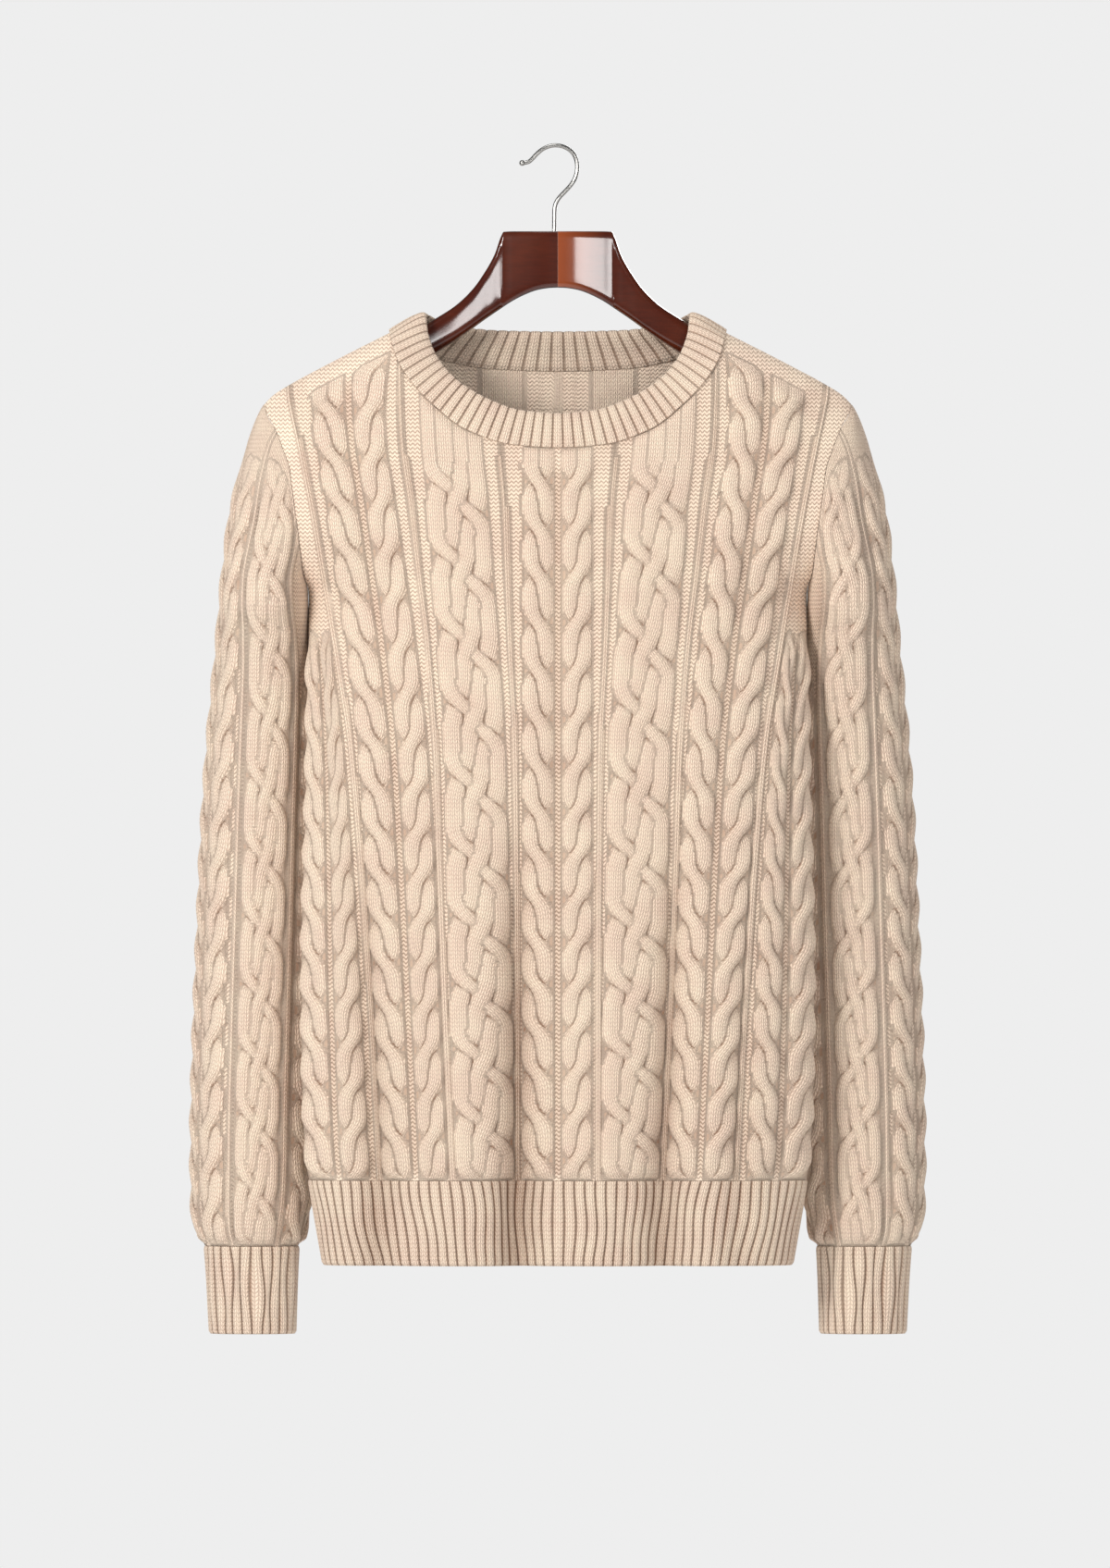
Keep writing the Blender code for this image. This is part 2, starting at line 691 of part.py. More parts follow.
def make_sleeve(name, side, material):
    """One sleeve, its columns running left to right as seen from outside."""
    first, second = ("front", "back") if side < 0 else ("back", "front")
    last = len(SLEEVE_COLUMNS) - 1
    order = [(number, first) for number in range(last + 1)]
    order += [(number, second) for number in range(last - 1, 0, -1)]
    axis = armhole_axis()
    columns, heights, kept, edge_normals = [], [], [], []
    for number, face in order:
        entry = SLEEVE_COLUMNS[number]
        top = ARMHOLE_TOPS[number]
        rows = rows_between(CUFF_SEAM_Z, top, SLEEVE_CUFF_MARGIN)
        column = []
        for _, z in rows:
            point = sleeve_point(z, angle_at(z, column_distance(entry, z)), face)
            column.append((z, mirrored(point, side)))
        seam = armhole(face)[number] + axis * (ARMHOLE_GAP / 2)
        column.append((top, mirrored(seam, side)))
        columns.append(column)
        kind = turned(entry[2], face != first)
        flat_from = len(rows) - FADE_ROWS
        raised_to = SIDE_CABLE_TOP if entry[0] == 2 else 0.0
        up = [relief(kind, r) if 0 < r < flat_from and z < raised_to else 0.0 for r, z in rows]
        heights.append(up + [0.0])
        edge_normals.append(mirrored(armhole_normals(face)[number], side))
        coarse = sorted(set(range(0, len(rows), 3)) | {len(rows)})
        kept.append((number % 3 == 0 or number == last, coarse))
    normals = point_normals(columns, closed=True)
    for across, edge in zip(normals, edge_normals):
        across[-1] = edge
        across[0] = level(across[0], 2)
    wall = Wall()
    outer, inner = thick_columns(wall, columns, normals, heights, kept)
    kinds = [turned(SLEEVE_COLUMNS[number][2], face != first) for number, face in order]
    for k in range(len(outer)):
        after = (k + 1) % len(outer)
        wall.strip(outer[k], outer[after], strip_lean(kinds[k], kinds[after], CUFF_SEAM_Z))
    for k in range(len(inner)):
        wall.strip(inner[k], inner[(k + 1) % len(inner)], flip=True)
    marks = [k for k, (keep, _) in enumerate(kept) if keep] + [len(outer)]
    for end in (0, -1):
        line = [(k, outer[k % len(outer)][end][1]) for k in range(len(outer) + 1)]
        coarse = [(mark, inner[k % len(inner)][end][1]) for k, mark in enumerate(marks)]
        wall.strip(line, coarse, flip=end == -1)
    return wall.build(name, material)


def turned(kind, mirror):
    """A relief as it is met from the other side."""
    if kind is None or not mirror:
        return kind
    if kind[0] == "rope":
        return ("rope", -kind[1], -kind[2])
    if kind[0] == "plait":
        return ("plait", -kind[1])
    return kind


def strip_lean(left, right, bottom):
    """The diagonals between two columns, for each height at which a row of faces ends."""
    return lambda z: lean(left, right, round((z - bottom) / ROW) - 1)


# --- the front and the back -------------------------------------------------------------------
def column_top(face, block, place):
    """The height at which a column meets the neckline or the shoulder line."""
    z = -180.0
    for _ in range(60):
        z += 0.5 * (panel_top(face, panel_x(face, block, place, min(z, -132.0))) - z)
    return z


# Which of each block's columns the plain inner wall has as well.
INNER_PLACES = {
    "edge": (0,),
    "rib": (0,),
    "plait": (-0.6, 0.6),
    "pair": (-1.0, 0.0, 1.0),
    "centre": (0.0,),
    "side": (-0.72, 0.0, 0.72),
}
INNER_EVERY = 4  # rows of outer points to each row of inner ones
TOP_ROWS_KEPT = 2  # rows of inner points kept where the cloth turns over the shoulder
NECK_TUCK = 3.0  # the coarse inner wall stops this far below the neckline's curve
TOP_MARGIN = 7.0
ROOF_ROWS = (14.0, 5.0)  # extra rows this far below the shoulder line, where the cloth turns over


def make_panel(name, face, material):
    """The front or the back, its columns running left to right as seen from outside."""
    seam = -SEAM_GAP / 2 if face == "front" else SEAM_GAP / 2
    turn = 1 if face == "front" else -1
    layout = panel_layout()
    columns, heights, kept, last_normals = [], [], [], []
    axis = armhole_axis()
    for number, (block, place, kind) in enumerate(layout):
        edge = block[0] == "edge"
        side = block[1]
        top = UNDERARM_Z if edge else column_top(face, block, place)
        over_shoulder = not edge and abs(panel_x(face, block, place, top)) > NECK_SIDE_X - TINY
        extra = ROOF_ROWS if over_shoulder else ()
        rows = rows_between(HEM_SEAM_Z, top - (extra[0] if extra else 0.0), TOP_MARGIN)
        if block[0] == "side":
            rows = [(r, z) for r, z in rows if z < UNDERARM_Z or r % 2 == 0]
        zs = [z for _, z in rows] + [top - drop for drop in extra] + ([] if edge else [top])
        column = []
        for z in zs:
            x = panel_x(face, block, place, z)
            point = panel_point(face, x, z)
            point.x *= turn
            if edge or (over_shoulder and z == top):
                point.y = TORSO.at("side_y", z) + seam
            column.append((z, point))
        raised_to = SIDE_CABLE_TOP if block[0] == "side" else 0.0
        up = [relief(kind, r) if r > 0 and z < raised_to else 0.0 for r, z in rows]
        if extra and block[0] != "side":
            up += [relief(kind, len(rows)) * 0.7, relief(kind, len(rows) + 1) * 0.4]
        elif extra:
            up += [0.0, 0.0]
        up += [] if edge else [0.0]
        if edge:
            tips = list(zip(armhole(face), armhole_normals(face)))[::-1]
            if face == "back":
                tips[0] = (Vector((*panel_edge("front", UNDERARM_Z), UNDERARM_Z)), tips[0][1])
            for point, normal in tips:
                placed = point - axis * (ARMHOLE_GAP / 2)
                placed.y += seam if normal is tips[0][1] or normal is tips[-1][1] else 0.0
                column.append((placed.z, mirrored(placed, side * turn)))
                last_normals.append((number, len(column) - 1, mirrored(normal, side * turn)))
                up.append(0.0)
        columns.append(column)
        heights.append(up)
        first_kept = len(rows) - TOP_ROWS_KEPT
        coarse = sorted(set(range(0, len(rows), INNER_EVERY)) | set(range(first_kept, len(column))))
        kept.append((place in INNER_PLACES[block[0]], coarse))
    normals = point_normals(columns, closed=False)
    for number, (column, across) in enumerate(zip(columns, normals)):
        across[0] = level(across[0], 2)
        if layout[number][0][0] == "edge":
            across[:] = [level(normal, 1) for normal in across]
            across[0] = level(across[0], 2)
        elif abs(column[-1][1].x) > NECK_SIDE_X - TINY:
            across[-1] = level(across[-1], 1)
    for number, row, normal in last_normals:
        normals[number][row] = normal
    wall = Wall()
    outer, inner = thick_columns(wall, columns, normals, heights, kept)
    for k in range(len(outer) - 1):
        leans = strip_lean(layout[k][2], layout[k + 1][2], HEM_SEAM_Z)
        wall.strip(outer[k], outer[k + 1], leans)
    for left, right in zip(inner, inner[1:]):
        wall.strip(left, right, flip=True)
    marks = [k for k, (keep, _) in enumerate(kept) if keep]
    for end in (0, -1):
        line = [(k, column[end][1]) for k, column in enumerate(outer)]
        coarse = [(mark, column[end][1]) for mark, column in zip(marks, inner)]
        wall.strip(line, coarse, flip=end == -1)
    wall.strip(outer[0], inner[0], flip=True)
    wall.strip(outer[-1], inner[-1])
    return wall.build(name, material)


# --- the ribbed bands --------------------------------------------------------------------------
def around(outline, count):
    """count points spaced evenly along a closed outline."""
    lengths = [0.0]
    ring = outline + outline[:1]
    for a, b in zip(ring, ring[1:]):
        lengths.append(lengths[-1] + (b - a).length)
    points, k = [], 0
    for number in range(count):
        wanted = lengths[-1] * number / count
        while lengths[k + 1] < wanted:
            k += 1
        share = (wanted - lengths[k]) / max(lengths[k + 1] - lengths[k], 1e-9)
        points.append(ring[k].lerp(ring[k + 1], share))
    return points


def ring_normals(points):
    """Level normals of a ring that runs left to right as seen from outside."""
    size = len(points)
    return [
        level((points[(k + 1) % size] - points[k - 1]).cross(Vector((0, 0, 1))), 2)
        for k in range(size)
    ]


def make_ribbed_tube(name, outline, top, bottom, ribs, coarse, material):
    """A ribbed tube between two heights, round the outline that a function gives there."""
    wall = Wall()
    rings = {}
    for z in (bottom, top):
        fine = around(outline(z), 2 * ribs)
        out = ring_normals(fine)
        swell = [RIB_SWELL if k % 2 == 0 else -RIB_SWELL for k in range(2 * ribs)]
        rings["outer", z] = [
            (k, wall.add(p + n * s)) for k, (p, n, s) in enumerate(zip(fine, out, swell))
        ]
        step = 2 * ribs // coarse
        picked = range(0, 2 * ribs, step)
        rings["inner", z] = [(k, wall.add(fine[k] - out[k] * WALL)) for k in picked]
    for ring in rings.values():
        ring.append((2 * ribs, ring[0][1]))
    wall.strip(rings["outer", top], rings["outer", bottom])
    wall.strip(rings["inner", top], rings["inner", bottom], flip=True)
    wall.strip(rings["inner", top], rings["outer", top])
    wall.strip(rings["outer", bottom], rings["inner", bottom])
    return wall.build(name, material)


def torso_outline(z, steps=48):
    """The body's section at a height, front from left to right and then the back."""
    outline = []
    for face, turn in (("front", 1), ("back", -1)):
        half = panel_edge(face, z)[0]
        for k in range(steps):
            x = -turn * half * math.cos(math.pi * k / steps)
            outline.append(panel_point(face, x, z))
    return outline


def cuff_outline(side):
    def outline(z, steps=48):
        points = []
        for k in range(steps):
            turn = 360 * k / steps
            face = "front" if (turn < 180) == (side < 0) else "back"
            degrees = turn if turn < 180 else 360 - turn
            points.append(mirrored(sleeve_point(z, degrees, face), side))
        return points

    return outline


def neck_lines(face, steps=60):
    """The seam and the folded edge across the front or the back, left to right outside."""
    turn = 1 if face == "front" else -1
    seam = []
    for block, place, _ in panel_layout():
        top = UNDERARM_Z if block[0] == "edge" else column_top(face, block, place)
        x = panel_x(face, block, place, top)
        if block[0] != "edge" and abs(x) < NECK_SIDE_X + TINY:
            seam.append(panel_point(face, x, top))
    seam[0].y = seam[-1].y = SHOULDER_TIP.y
    seam = seam[::turn]
    fold = []
    for k in range(steps + 1):
        share = -math.cos(math.pi * k / steps) * turn
        x = share * BAND_SIDE_X
        out = BAND_DEPTH[face] * superellipse(share, 2.6) ** 0.9
        y = SHOULDER_TIP.y + (-out if face == "front" else out)
        edge = (BAND_FRONT if face == "front" else BAND_BACK).at("z", abs(x))
        fold.append(Vector((x, y, edge)))
    return seam, fold


def spaced(line, count):
    """count points from the line's start towards its end, spaced evenly, end left out."""
    lengths = [0.0]
    for a, b in zip(line, line[1:]):
        lengths.append(lengths[-1] + (b - a).length)
    points, k = [], 0
    for number in range(count):
        wanted = lengths[-1] * number / count
        while lengths[k + 1] < wanted:
            k += 1
        share = (wanted - lengths[k]) / max(lengths[k + 1] - lengths[k], 1e-9)
        points.append(line[k].lerp(line[k + 1], share))
    return points


# The neckband's section: along from its seam to its fold, out from that line, and how much
# of the ribs' swell it carries; the outer line is fine and the inner one coarse.
BAND_OUTER = [(0.06, 0.5, 0.5), (0.42, 2.7, 1.0), (0.93, 1.6, 1.0)]
BAND_INNER = [(0.97, -1.9), (0.5, -3.1), (0.07, -2.5)]
BAND_COARSE = 4


def make_neckband(name, material):
    """The folded ribbed band round the neck."""
    seam, fold = [], []
    for face, ribs in (("front", NECK_RIBS_FRONT), ("back", NECK_RIBS_BACK)):
        seam_line, fold_line = neck_lines(face)
        seam += spaced(seam_line, 2 * ribs)
        fold += spaced(fold_line, 2 * ribs)
    size = len(seam)
    wall = Wall()
    frames = []
    for k in range(size):
        up = fold[k] - seam[k]
        middle = [(seam[j % size] + fold[j % size]) / 2 for j in (k + 2, k - 2)]
        frames.append((up, (middle[0] - middle[1]).cross(up).normalized()))
    outer, inner = [], []
    for along, out, swell in BAND_OUTER:
        line = []
        for k, (up, normal) in enumerate(frames):
            ridge = RIB_SWELL * swell * (1 if k % 2 == 0 else -1)
            line.append((k, wall.add(seam[k] + up * along + normal * (out + ridge))))
        outer.append(line + [(size, line[0][1])])
    for along, out in BAND_INNER:
        line = []
        for k in range(0, size, BAND_COARSE):
            up, normal = frames[k]
            line.append((k, wall.add(seam[k] + up * along + normal * out)))
        inner.append(line + [(size, line[0][1])])
    rings = outer + inner
    for low, high in zip(rings, rings[1:] + rings[:1]):
        wall.strip(high, low)
    return wall.build(name, material)


# --- the hanger --------------------------------------------------------------------------------
def make_hanger_half(name, side, material):
    """Half of the wooden hanger, lofted from the glued joint in its middle to its end."""
    wall = Wall()
    rings = []
    for station in HANGER:
        middle = (station["top"] + station["bottom"]) / 2
        tall = (station["top"] - station["bottom"]) / 2
        ring = []
        for k in range(HANGER_SIDES):
            turn = 2 * math.pi * (k + 0.5) / HANGER_SIDES
            round_y, round_z = math.cos(turn), math.sin(turn)
            power = station["power"]
            reach = (abs(round_y) ** power + abs(round_z) ** power) ** (-1 / power)
            point = Vector(
                (
                    station["x"] * side,
                    station["y"] + station["half"] * round_y * reach,
                    middle + tall * round_z * reach,
                )
            )
            ring.append((k, wall.add(point)))
        ring.append((HANGER_SIDES, ring[0][1]))
        rings.append(ring)
    for near, far in zip(rings, rings[1:]):
        wall.strip(near, far, flip=side > 0)
    for ring, flip in ((rings[0], side > 0), (rings[-1], side < 0)):
        corners = [number for _, number in ring[:-1]]
        wall.faces.append(tuple(corners[::-1] if flip else corners))
    return wall.build(name, material)


def make_hook(name, material):
    """The hook's wire, with its rounded tip turned up."""
    curve = bpy.data.curves.new(name, "CURVE")
    curve.dimensions = "3D"
    curve.bevel_depth = HOOK_RADIUS * MM
    curve.bevel_resolution = 2
    curve.use_fill_caps = True
    spline = curve.splines.new("POLY")
    spline.points.add(len(HOOK_POINTS) - 1)
    for number, (x, z) in enumerate(HOOK_POINTS):
        spline.points[number].co = (x * MM, 0.0, z * MM, 1.0)
    return show(bpy.data.objects.new(name, curve), material)


def clear_scene():
    for obj in list(bpy.data.objects):
        bpy.data.objects.remove(obj, do_unlink=True)
    collection = bpy.data.collections.new("cable_knit_sweater")
    bpy.context.scene.collection.children.link(collection)


def main():
    clear_scene()
    wool = principled("cream_wool_knit", (0.78, 0.62, 0.48), 0.9)
    wood = principled("mahogany_lacquer", (0.16, 0.035, 0.015), 0.25)
    steel = principled("polished_steel", (0.62, 0.62, 0.6), 0.2, 1.0)
    make_panel("front_panel", "front", wool)
    make_panel("back_panel", "back", wool)
    for side, word in ((-1, "left"), (1, "right")):
        make_sleeve(f"sleeve_{word}", side, wool)
        top = CUFF_SEAM_Z - SEAM_GAP
        make_ribbed_tube(f"cuff_{word}", cuff_outline(side), top, CUFF_END_Z, CUFF_RIBS, 13, wool)
        make_hanger_half(f"hanger_arm_{word}", side, wood)
    make_ribbed_tube("hem_band", torso_outline, HEM_SEAM_Z - SEAM_GAP, HEM_END_Z, HEM_RIBS, 32, wool)
    make_neckband("neckband", wool)
    make_hook("hanger_hook", steel)


main()
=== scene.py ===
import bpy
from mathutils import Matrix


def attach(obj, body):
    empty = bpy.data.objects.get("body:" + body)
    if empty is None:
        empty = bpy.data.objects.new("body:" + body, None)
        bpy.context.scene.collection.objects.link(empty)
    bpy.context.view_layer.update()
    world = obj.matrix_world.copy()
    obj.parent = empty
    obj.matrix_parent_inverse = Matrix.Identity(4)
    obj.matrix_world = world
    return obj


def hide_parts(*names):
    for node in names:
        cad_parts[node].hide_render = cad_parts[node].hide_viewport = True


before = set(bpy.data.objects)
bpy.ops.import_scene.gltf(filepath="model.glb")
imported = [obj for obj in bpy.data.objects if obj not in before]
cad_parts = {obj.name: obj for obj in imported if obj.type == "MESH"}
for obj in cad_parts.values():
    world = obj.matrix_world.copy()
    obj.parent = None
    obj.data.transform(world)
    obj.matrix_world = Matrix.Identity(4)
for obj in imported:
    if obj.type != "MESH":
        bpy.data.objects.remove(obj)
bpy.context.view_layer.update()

import math

import bmesh
import bpy
import numpy as np
from mathutils import Vector

# sizes are in mm, measured from the line of the shoulders; the hook stands behind that line
hookBehind = 13.0


def smoothCurve(xs, ys):
    # a curve through the points that never overshoots them
    xs, ys = np.array(xs, float), np.array(ys, float)
    chord = np.diff(ys) / np.diff(xs)
    slope = np.zeros(len(xs))
    slope[0] = 0.0 if xs[0] == 0 else chord[0]
    slope[-1] = chord[-1]
    both = chord[1:] * chord[:-1] > 0
    total = np.where(both, chord[1:] + chord[:-1], 1.0)
    slope[1:-1] = np.where(both, 2 * chord[1:] * chord[:-1] / total, 0.0)

    def at(x):
        x = np.clip(np.asarray(x, float), xs[0], xs[-1])
        i = np.clip(np.searchsorted(xs, x, side="right") - 1, 0, len(xs) - 2)
        step = xs[i + 1] - xs[i]
        t = (x - xs[i]) / step
        rise = ys[i] * (1 + 2 * t) * (1 - t) ** 2 + ys[i + 1] * t * t * (3 - 2 * t)
        return rise + step * (slope[i] * t * (1 - t) ** 2 - slope[i + 1] * t * t * (1 - t))

    return at


def curves(names, rows):
    columns = list(zip(*sorted(rows)))
    return {name: smoothCurve(columns[0], ys) for name, ys in zip(names.split(), columns[1:])}


def ease(x, low, high):
    t = np.clip((x - low) / (high - low), 0, 1)
    return t * t * (3 - 2 * t)


def unit(vectors):
    return vectors / np.maximum(np.linalg.norm(vectors, axis=-1, keepdims=True), 1e-9)


def runAlong(line):
    # the steps from point to point of a line, and how far along it each point is
    steps = np.linalg.norm(np.diff(line, axis=0), axis=-1)
    return steps, np.concatenate([np.zeros((1,) + steps.shape[1:]), np.cumsum(steps, axis=0)])


towards = {"front": -1, "back": 1}  # which way along Y a face looks


# the body's form
body = {
    "wall": 2.4,
    "seamGap": 0.3,
    "underarm": -324.0,
    "wholeSleeve": -345.0,  # below this the sleeve is a whole tube
    "armholeTop": -185.0,
    "shoulderEnd": -184.0,
    "hemSeam": -737.0,
    "hemEnd": -798.0,
    "roofDrop": 60.0,
    "roofPower": 2.2,
    "backPower": 2.2,
    "tipX": 210.0,
    "tipY": 3.0,
    "neckSideX": 119.0,
}
bodyForm = curves(
    "halfWidth front back sideY frontPower",
    [
        (-131, 210.0, 43.0, 35.0, 3.0, 2.0),
        (-155, 210.0, 45.0, 38.0, 3.0, 2.0),
        (-186, 210.0, 47.0, 42.0, 3.0, 2.0),
        (-212, 206.0, 50.5, 46.0, 3.0, 2.0),
        (-235, 200.0, 54.0, 51.0, 4.0, 2.05),
        (-260, 192.0, 58.0, 55.0, 5.0, 2.1),
        (-285, 184.0, 61.5, 57.5, 6.0, 2.2),
        (-324, 178.0, 66.0, 59.0, 7.0, 2.4),
        (-345, 178.0, 61.5, 65.0, 1.0, 2.55),
        (-370, 178.2, 59.5, 70.5, -5.0, 2.7),
        (-400, 178.6, 58.5, 74.0, -9.5, 2.85),
        (-440, 179.2, 57.5, 76.0, -12.0, 3.0),
        (-600, 183.0, 58.0, 76.0, -12.0, 3.0),
        (-684, 182.0, 57.0, 74.0, -12.0, 3.0),
        (-720, 180.0, 56.0, 72.0, -12.0, 3.0),
        (-737, 177.5, 54.0, 70.0, -12.0, 3.0),
        (-798, 167.0, 48.0, 62.0, -12.0, 3.0),
    ],
)
shoulderForm = curves(
    "z",
    [(0, -70.0), (121, -133.0), (148, -146.6), (173, -159.6), (190, -168.8), (203, -177.0), (210, -184.0)],
)
necklineForm = {
    "front": curves(
        "z",
        [(0, -215), (31, -213), (65, -202), (90, -183), (108, -163), (116, -147), (119, -131.6)],
    ),
    "back": curves("z", [(0, -155.0), (45, -153.5), (85, -146.0), (119, -131.6)]),
}
# where the ribs that part the cables run
ribForm = curves(
    "inner middle outer",
    [
        (-150, 42.0, 112.0, 194.0),
        (-178, 42.0, 111.5, 191.0),
        (-212, 41.0, 110.0, 184.0),
        (-255, 37.5, 104.5, 175.5),
        (-303, 36.0, 99.0, 167.0),
        (-357, 34.0, 92.5, 158.0),
        (-430, 30.5, 87.0, 147.0),
        (-512, 29.5, 84.0, 140.0),
        (-605, 29.0, 80.5, 134.0),
        (-737, 28.5, 74.5, 127.0),
    ],
)
sleeveForm = curves(
    "reach halfWidth centreY halfDepth wrap",
    [
        (-184, 210.3, 0.3, 3.0, 0.6, 90.0),
        (-186, 211.6, 2.6, 3.0, 5.6, 90.0),
        (-189.5, 213.5, 5.2, 3.0, 10.5, 90.0),
        (-194, 215.6, 9.4, 3.2, 16.5, 90.0),
        (-200, 218.0, 15.5, 3.6, 23.0, 90.0),
        (-212, 222.0, 24.5, 4.5, 31.0, 90.0),
        (-235, 227.5, 36.4, 7.0, 39.0, 91.0),
        (-260, 230.8, 39.4, 8.0, 43.5, 96.0),
        (-285, 233.8, 32.6, 8.0, 46.5, 122.0),
        (-307, 236.2, 29.3, 7.5, 49.5, 152.0),
        (-324, 237.8, 29.9, 7.0, 50.0, 180.0),
        (-345, 239.6, 31.2, 16.0, 48.5, 180.0),
        (-370, 242.0, 34.0, 23.0, 47.0, 180.0),
        (-420, 246.8, 37.2, 28.5, 44.5, 180.0),
        (-480, 251.0, 39.3, 30.5, 42.0, 180.0),
        (-560, 254.4, 40.4, 31.0, 41.0, 180.0),
        (-640, 257.4, 41.0, 31.0, 40.5, 180.0),
        (-710, 258.8, 40.8, 31.0, 40.5, 180.0),
        (-750, 258.6, 39.8, 30.5, 39.5, 180.0),
        (-770, 256.6, 37.0, 29.0, 36.0, 180.0),
        (-785, 252.5, 33.4, 28.5, 31.0, 180.0),
        (-848, 248.5, 30.2, 28.0, 27.0, 180.0),
    ],
)
capSpread = curves("share", [(-200, 0.74), (-235, 0.80), (-285, 0.90), (-345, 1.0)])["share"]
# soft folds: their middle at the hem and at the chest, half width, depth, and where they start
folds = {
    "front": [
        (-168.0, -150.0, 30.0, 8.0, -420.0),
        (-68.0, -58.0, 32.0, 9.0, -380.0),
        (34.0, 22.0, 30.0, 8.0, -400.0),
        (124.0, 96.0, 32.0, 10.0, -360.0),
    ],
    "back": [
        (-110.0, -90.0, 38.0, 6.0, -400.0),
        (8.0, 0.0, 42.0, 5.0, -420.0),
        (116.0, 92.0, 36.0, 6.0, -380.0),
    ],
}
# sharper troughs that run down along a rib of the front, as the cloth hangs in soft pleats; dark is the
# shade painted along each
creases = [
    {"side": -1, "rib": "outer", "width": 13.0, "deep": 10.0, "from": -440.0, "dark": 0.45},
    {"side": -1, "rib": "inner", "width": 14.0, "deep": 14.0, "from": -440.0, "dark": 0.80},
    {"side": 1, "rib": "middle", "width": 13.0, "deep": 12.0, "from": -440.0, "dark": 0.50},
    {"side": 1, "rib": "outer", "width": 12.0, "deep": 6.0, "from": -520.0, "dark": 0.25},
]
creaseGrows = {"deep": 160.0, "dark": 240.0}  # over how many mm each of them comes


def creased(effect, x, z):
    # how deep the creases make the cloth, or how much shade is painted along them
    total = np.zeros(np.broadcast(x, z).shape)
    for crease in creases:
        share = ease(-z, -crease["from"], -crease["from"] + creaseGrows[effect])
        away = (x - crease["side"] * ribForm[crease["rib"]](z)) / crease["width"]
        total = total + crease[effect] * share * np.exp(-(away**2))
    return total


def superEllipse(share, power):
    return np.maximum(0.0, 1 - np.minimum(1.0, np.abs(share)) ** power) ** (1 / power)


def roof(x, z):
    # from nothing at the shoulder line to the body's full depth
    below = (shoulderForm["z"](np.minimum(np.abs(x), body["tipX"])) - z) / body["roofDrop"]
    below = np.clip(below, 0, 1)
    return (1 - (1 - below) ** body["roofPower"]) ** (1 / body["roofPower"])


def foldHeight(face, x, z):
    height = np.zeros(np.broadcast(x, z).shape)
    for hemX, chestX, width, out, start in folds[face]:
        share = np.clip((start - z) / (start - body["hemEnd"]), 0, 1)
        middle = chestX + (hemX - chestX) * share
        height = height + out * share**1.3 * np.exp(-(((x - middle) / width) ** 2))
    if face == "front":
        height = height - creased("deep", x, z)
    edge = np.abs(x) / bodyForm["halfWidth"](z)
    return height * np.maximum(0.0, 1 - edge**6)


def sleeveAround(z, degrees):
    turn = np.radians(degrees)
    x = sleeveForm["reach"](z) - sleeveForm["halfWidth"](z) * (1 - np.cos(turn))
    return x, sleeveForm["halfDepth"](z) * np.sin(turn)


def panelEdge(face, z):
    x, out = sleeveAround(z, sleeveForm["wrap"](z))
    y = sleeveForm["centreY"](z) + towards[face] * out
    below = z <= body["underarm"]
    return np.where(below, bodyForm["halfWidth"](z), x), np.where(below, bodyForm["sideY"](z), y)


def panelPoint(face, x, z):
    sideY, depth = bodyForm["sideY"](z), bodyForm[face](z)
    power = bodyForm["frontPower"](z) if face == "front" else body["backPower"]
    # above the underarm the panel ends with some depth left, so its whole oval would be wider
    level = np.minimum(z, body["armholeTop"])
    edgeX, edgeY = panelEdge(face, level)
    share = np.abs(edgeY - bodyForm["sideY"](level)) / (bodyForm[face](level) * roof(edgeX, level))
    share = np.minimum(share, 0.97)
    half = np.where(z > body["underarm"], edgeX / (1 - share**power) ** (1 / power), edgeX)
    out = depth * roof(x, z) * superEllipse(x / half, power) + foldHeight(face, x, z)
    y = sideY + towards[face] * out
    return np.stack([x, y, np.broadcast_to(z, np.shape(x))], axis=-1)


# the cables, as heights over the cloth
cable = {
    # height in mm, a strand's half width as a share of the cable's, and the grooves along its strands,
    # sunk in the bump and painted as shade
    "rope": {"high": 5.4, "strand": 0.62, "grooveShade": 0.50, "swing": 0.45, "level": 0.68, "lift": 0.32},
    "plait": {"high": 4.9, "strand": 0.37, "grooveShade": 0.10},
    "plaitHalf": 22.5,
    "pairHalf": 25.5,
    "ropeCentre": 0.555,
    "ropeReach": 0.435,
    "ropeEdge": 1.12,
    "wale": 3.2,
    "stretch": 1.06,
    "bare": 0.02,
    "ribHigh": 1.7,
    "ribHalf": 1.9,
    "ladder": 2.6,
    "flat": 0.60,
    "under": 0.36,
    "shadeWide": 0.34,
    "groundPaintedShade": 0.18,
    "ladderPaintedShade": 0.50,
}
endless = 99.0  # a cable that keeps crossing to its end
# how many crossings lie below each height; the crossings open out towards the shoulders
ropeCrossings = curves(
    "count",
    [(-860, -4.4), (-737, -0.48), (-722, 0.0), (-598, 4.0), (-442, 9.0), (-306, 13.0), (-140, 18.0)],
)["count"]
plaitTurns = curves(
    "count",
    [(-860, -3.3), (-737, -0.69), (-704.5, 0.0), (-564.6, 3.0), (-362, 7.0), (-308, 8.0), (-140, 11.3)],
)["count"]
# each kind of rope crosses on its own rows
ropeShift = {"centre": 0.0, "pair": 0.48, "side": 0.34, "sleeveOuter": 0.2, "sleeveInner": 0.6}
# a plait of four strands: every turn one of them runs down from left to right, over its first
# and third neighbour and under its second, while the others each step one place to the left
plait = {
    "corner": 0.67,
    "outerPlace": 0.68,
    "run": (0.06, 1.08),
    "stepWide": 0.40,
    "steps": (1.78, 2.56, 3.35),
    "crossings": ((0.35, 1), (0.56, -1), (0.78, 1), (1.78, -1), (2.56, 1), (3.35, -1)),
    "crossingWide": 0.13,
    "level": 0.74,
    "lift": 0.26,
}


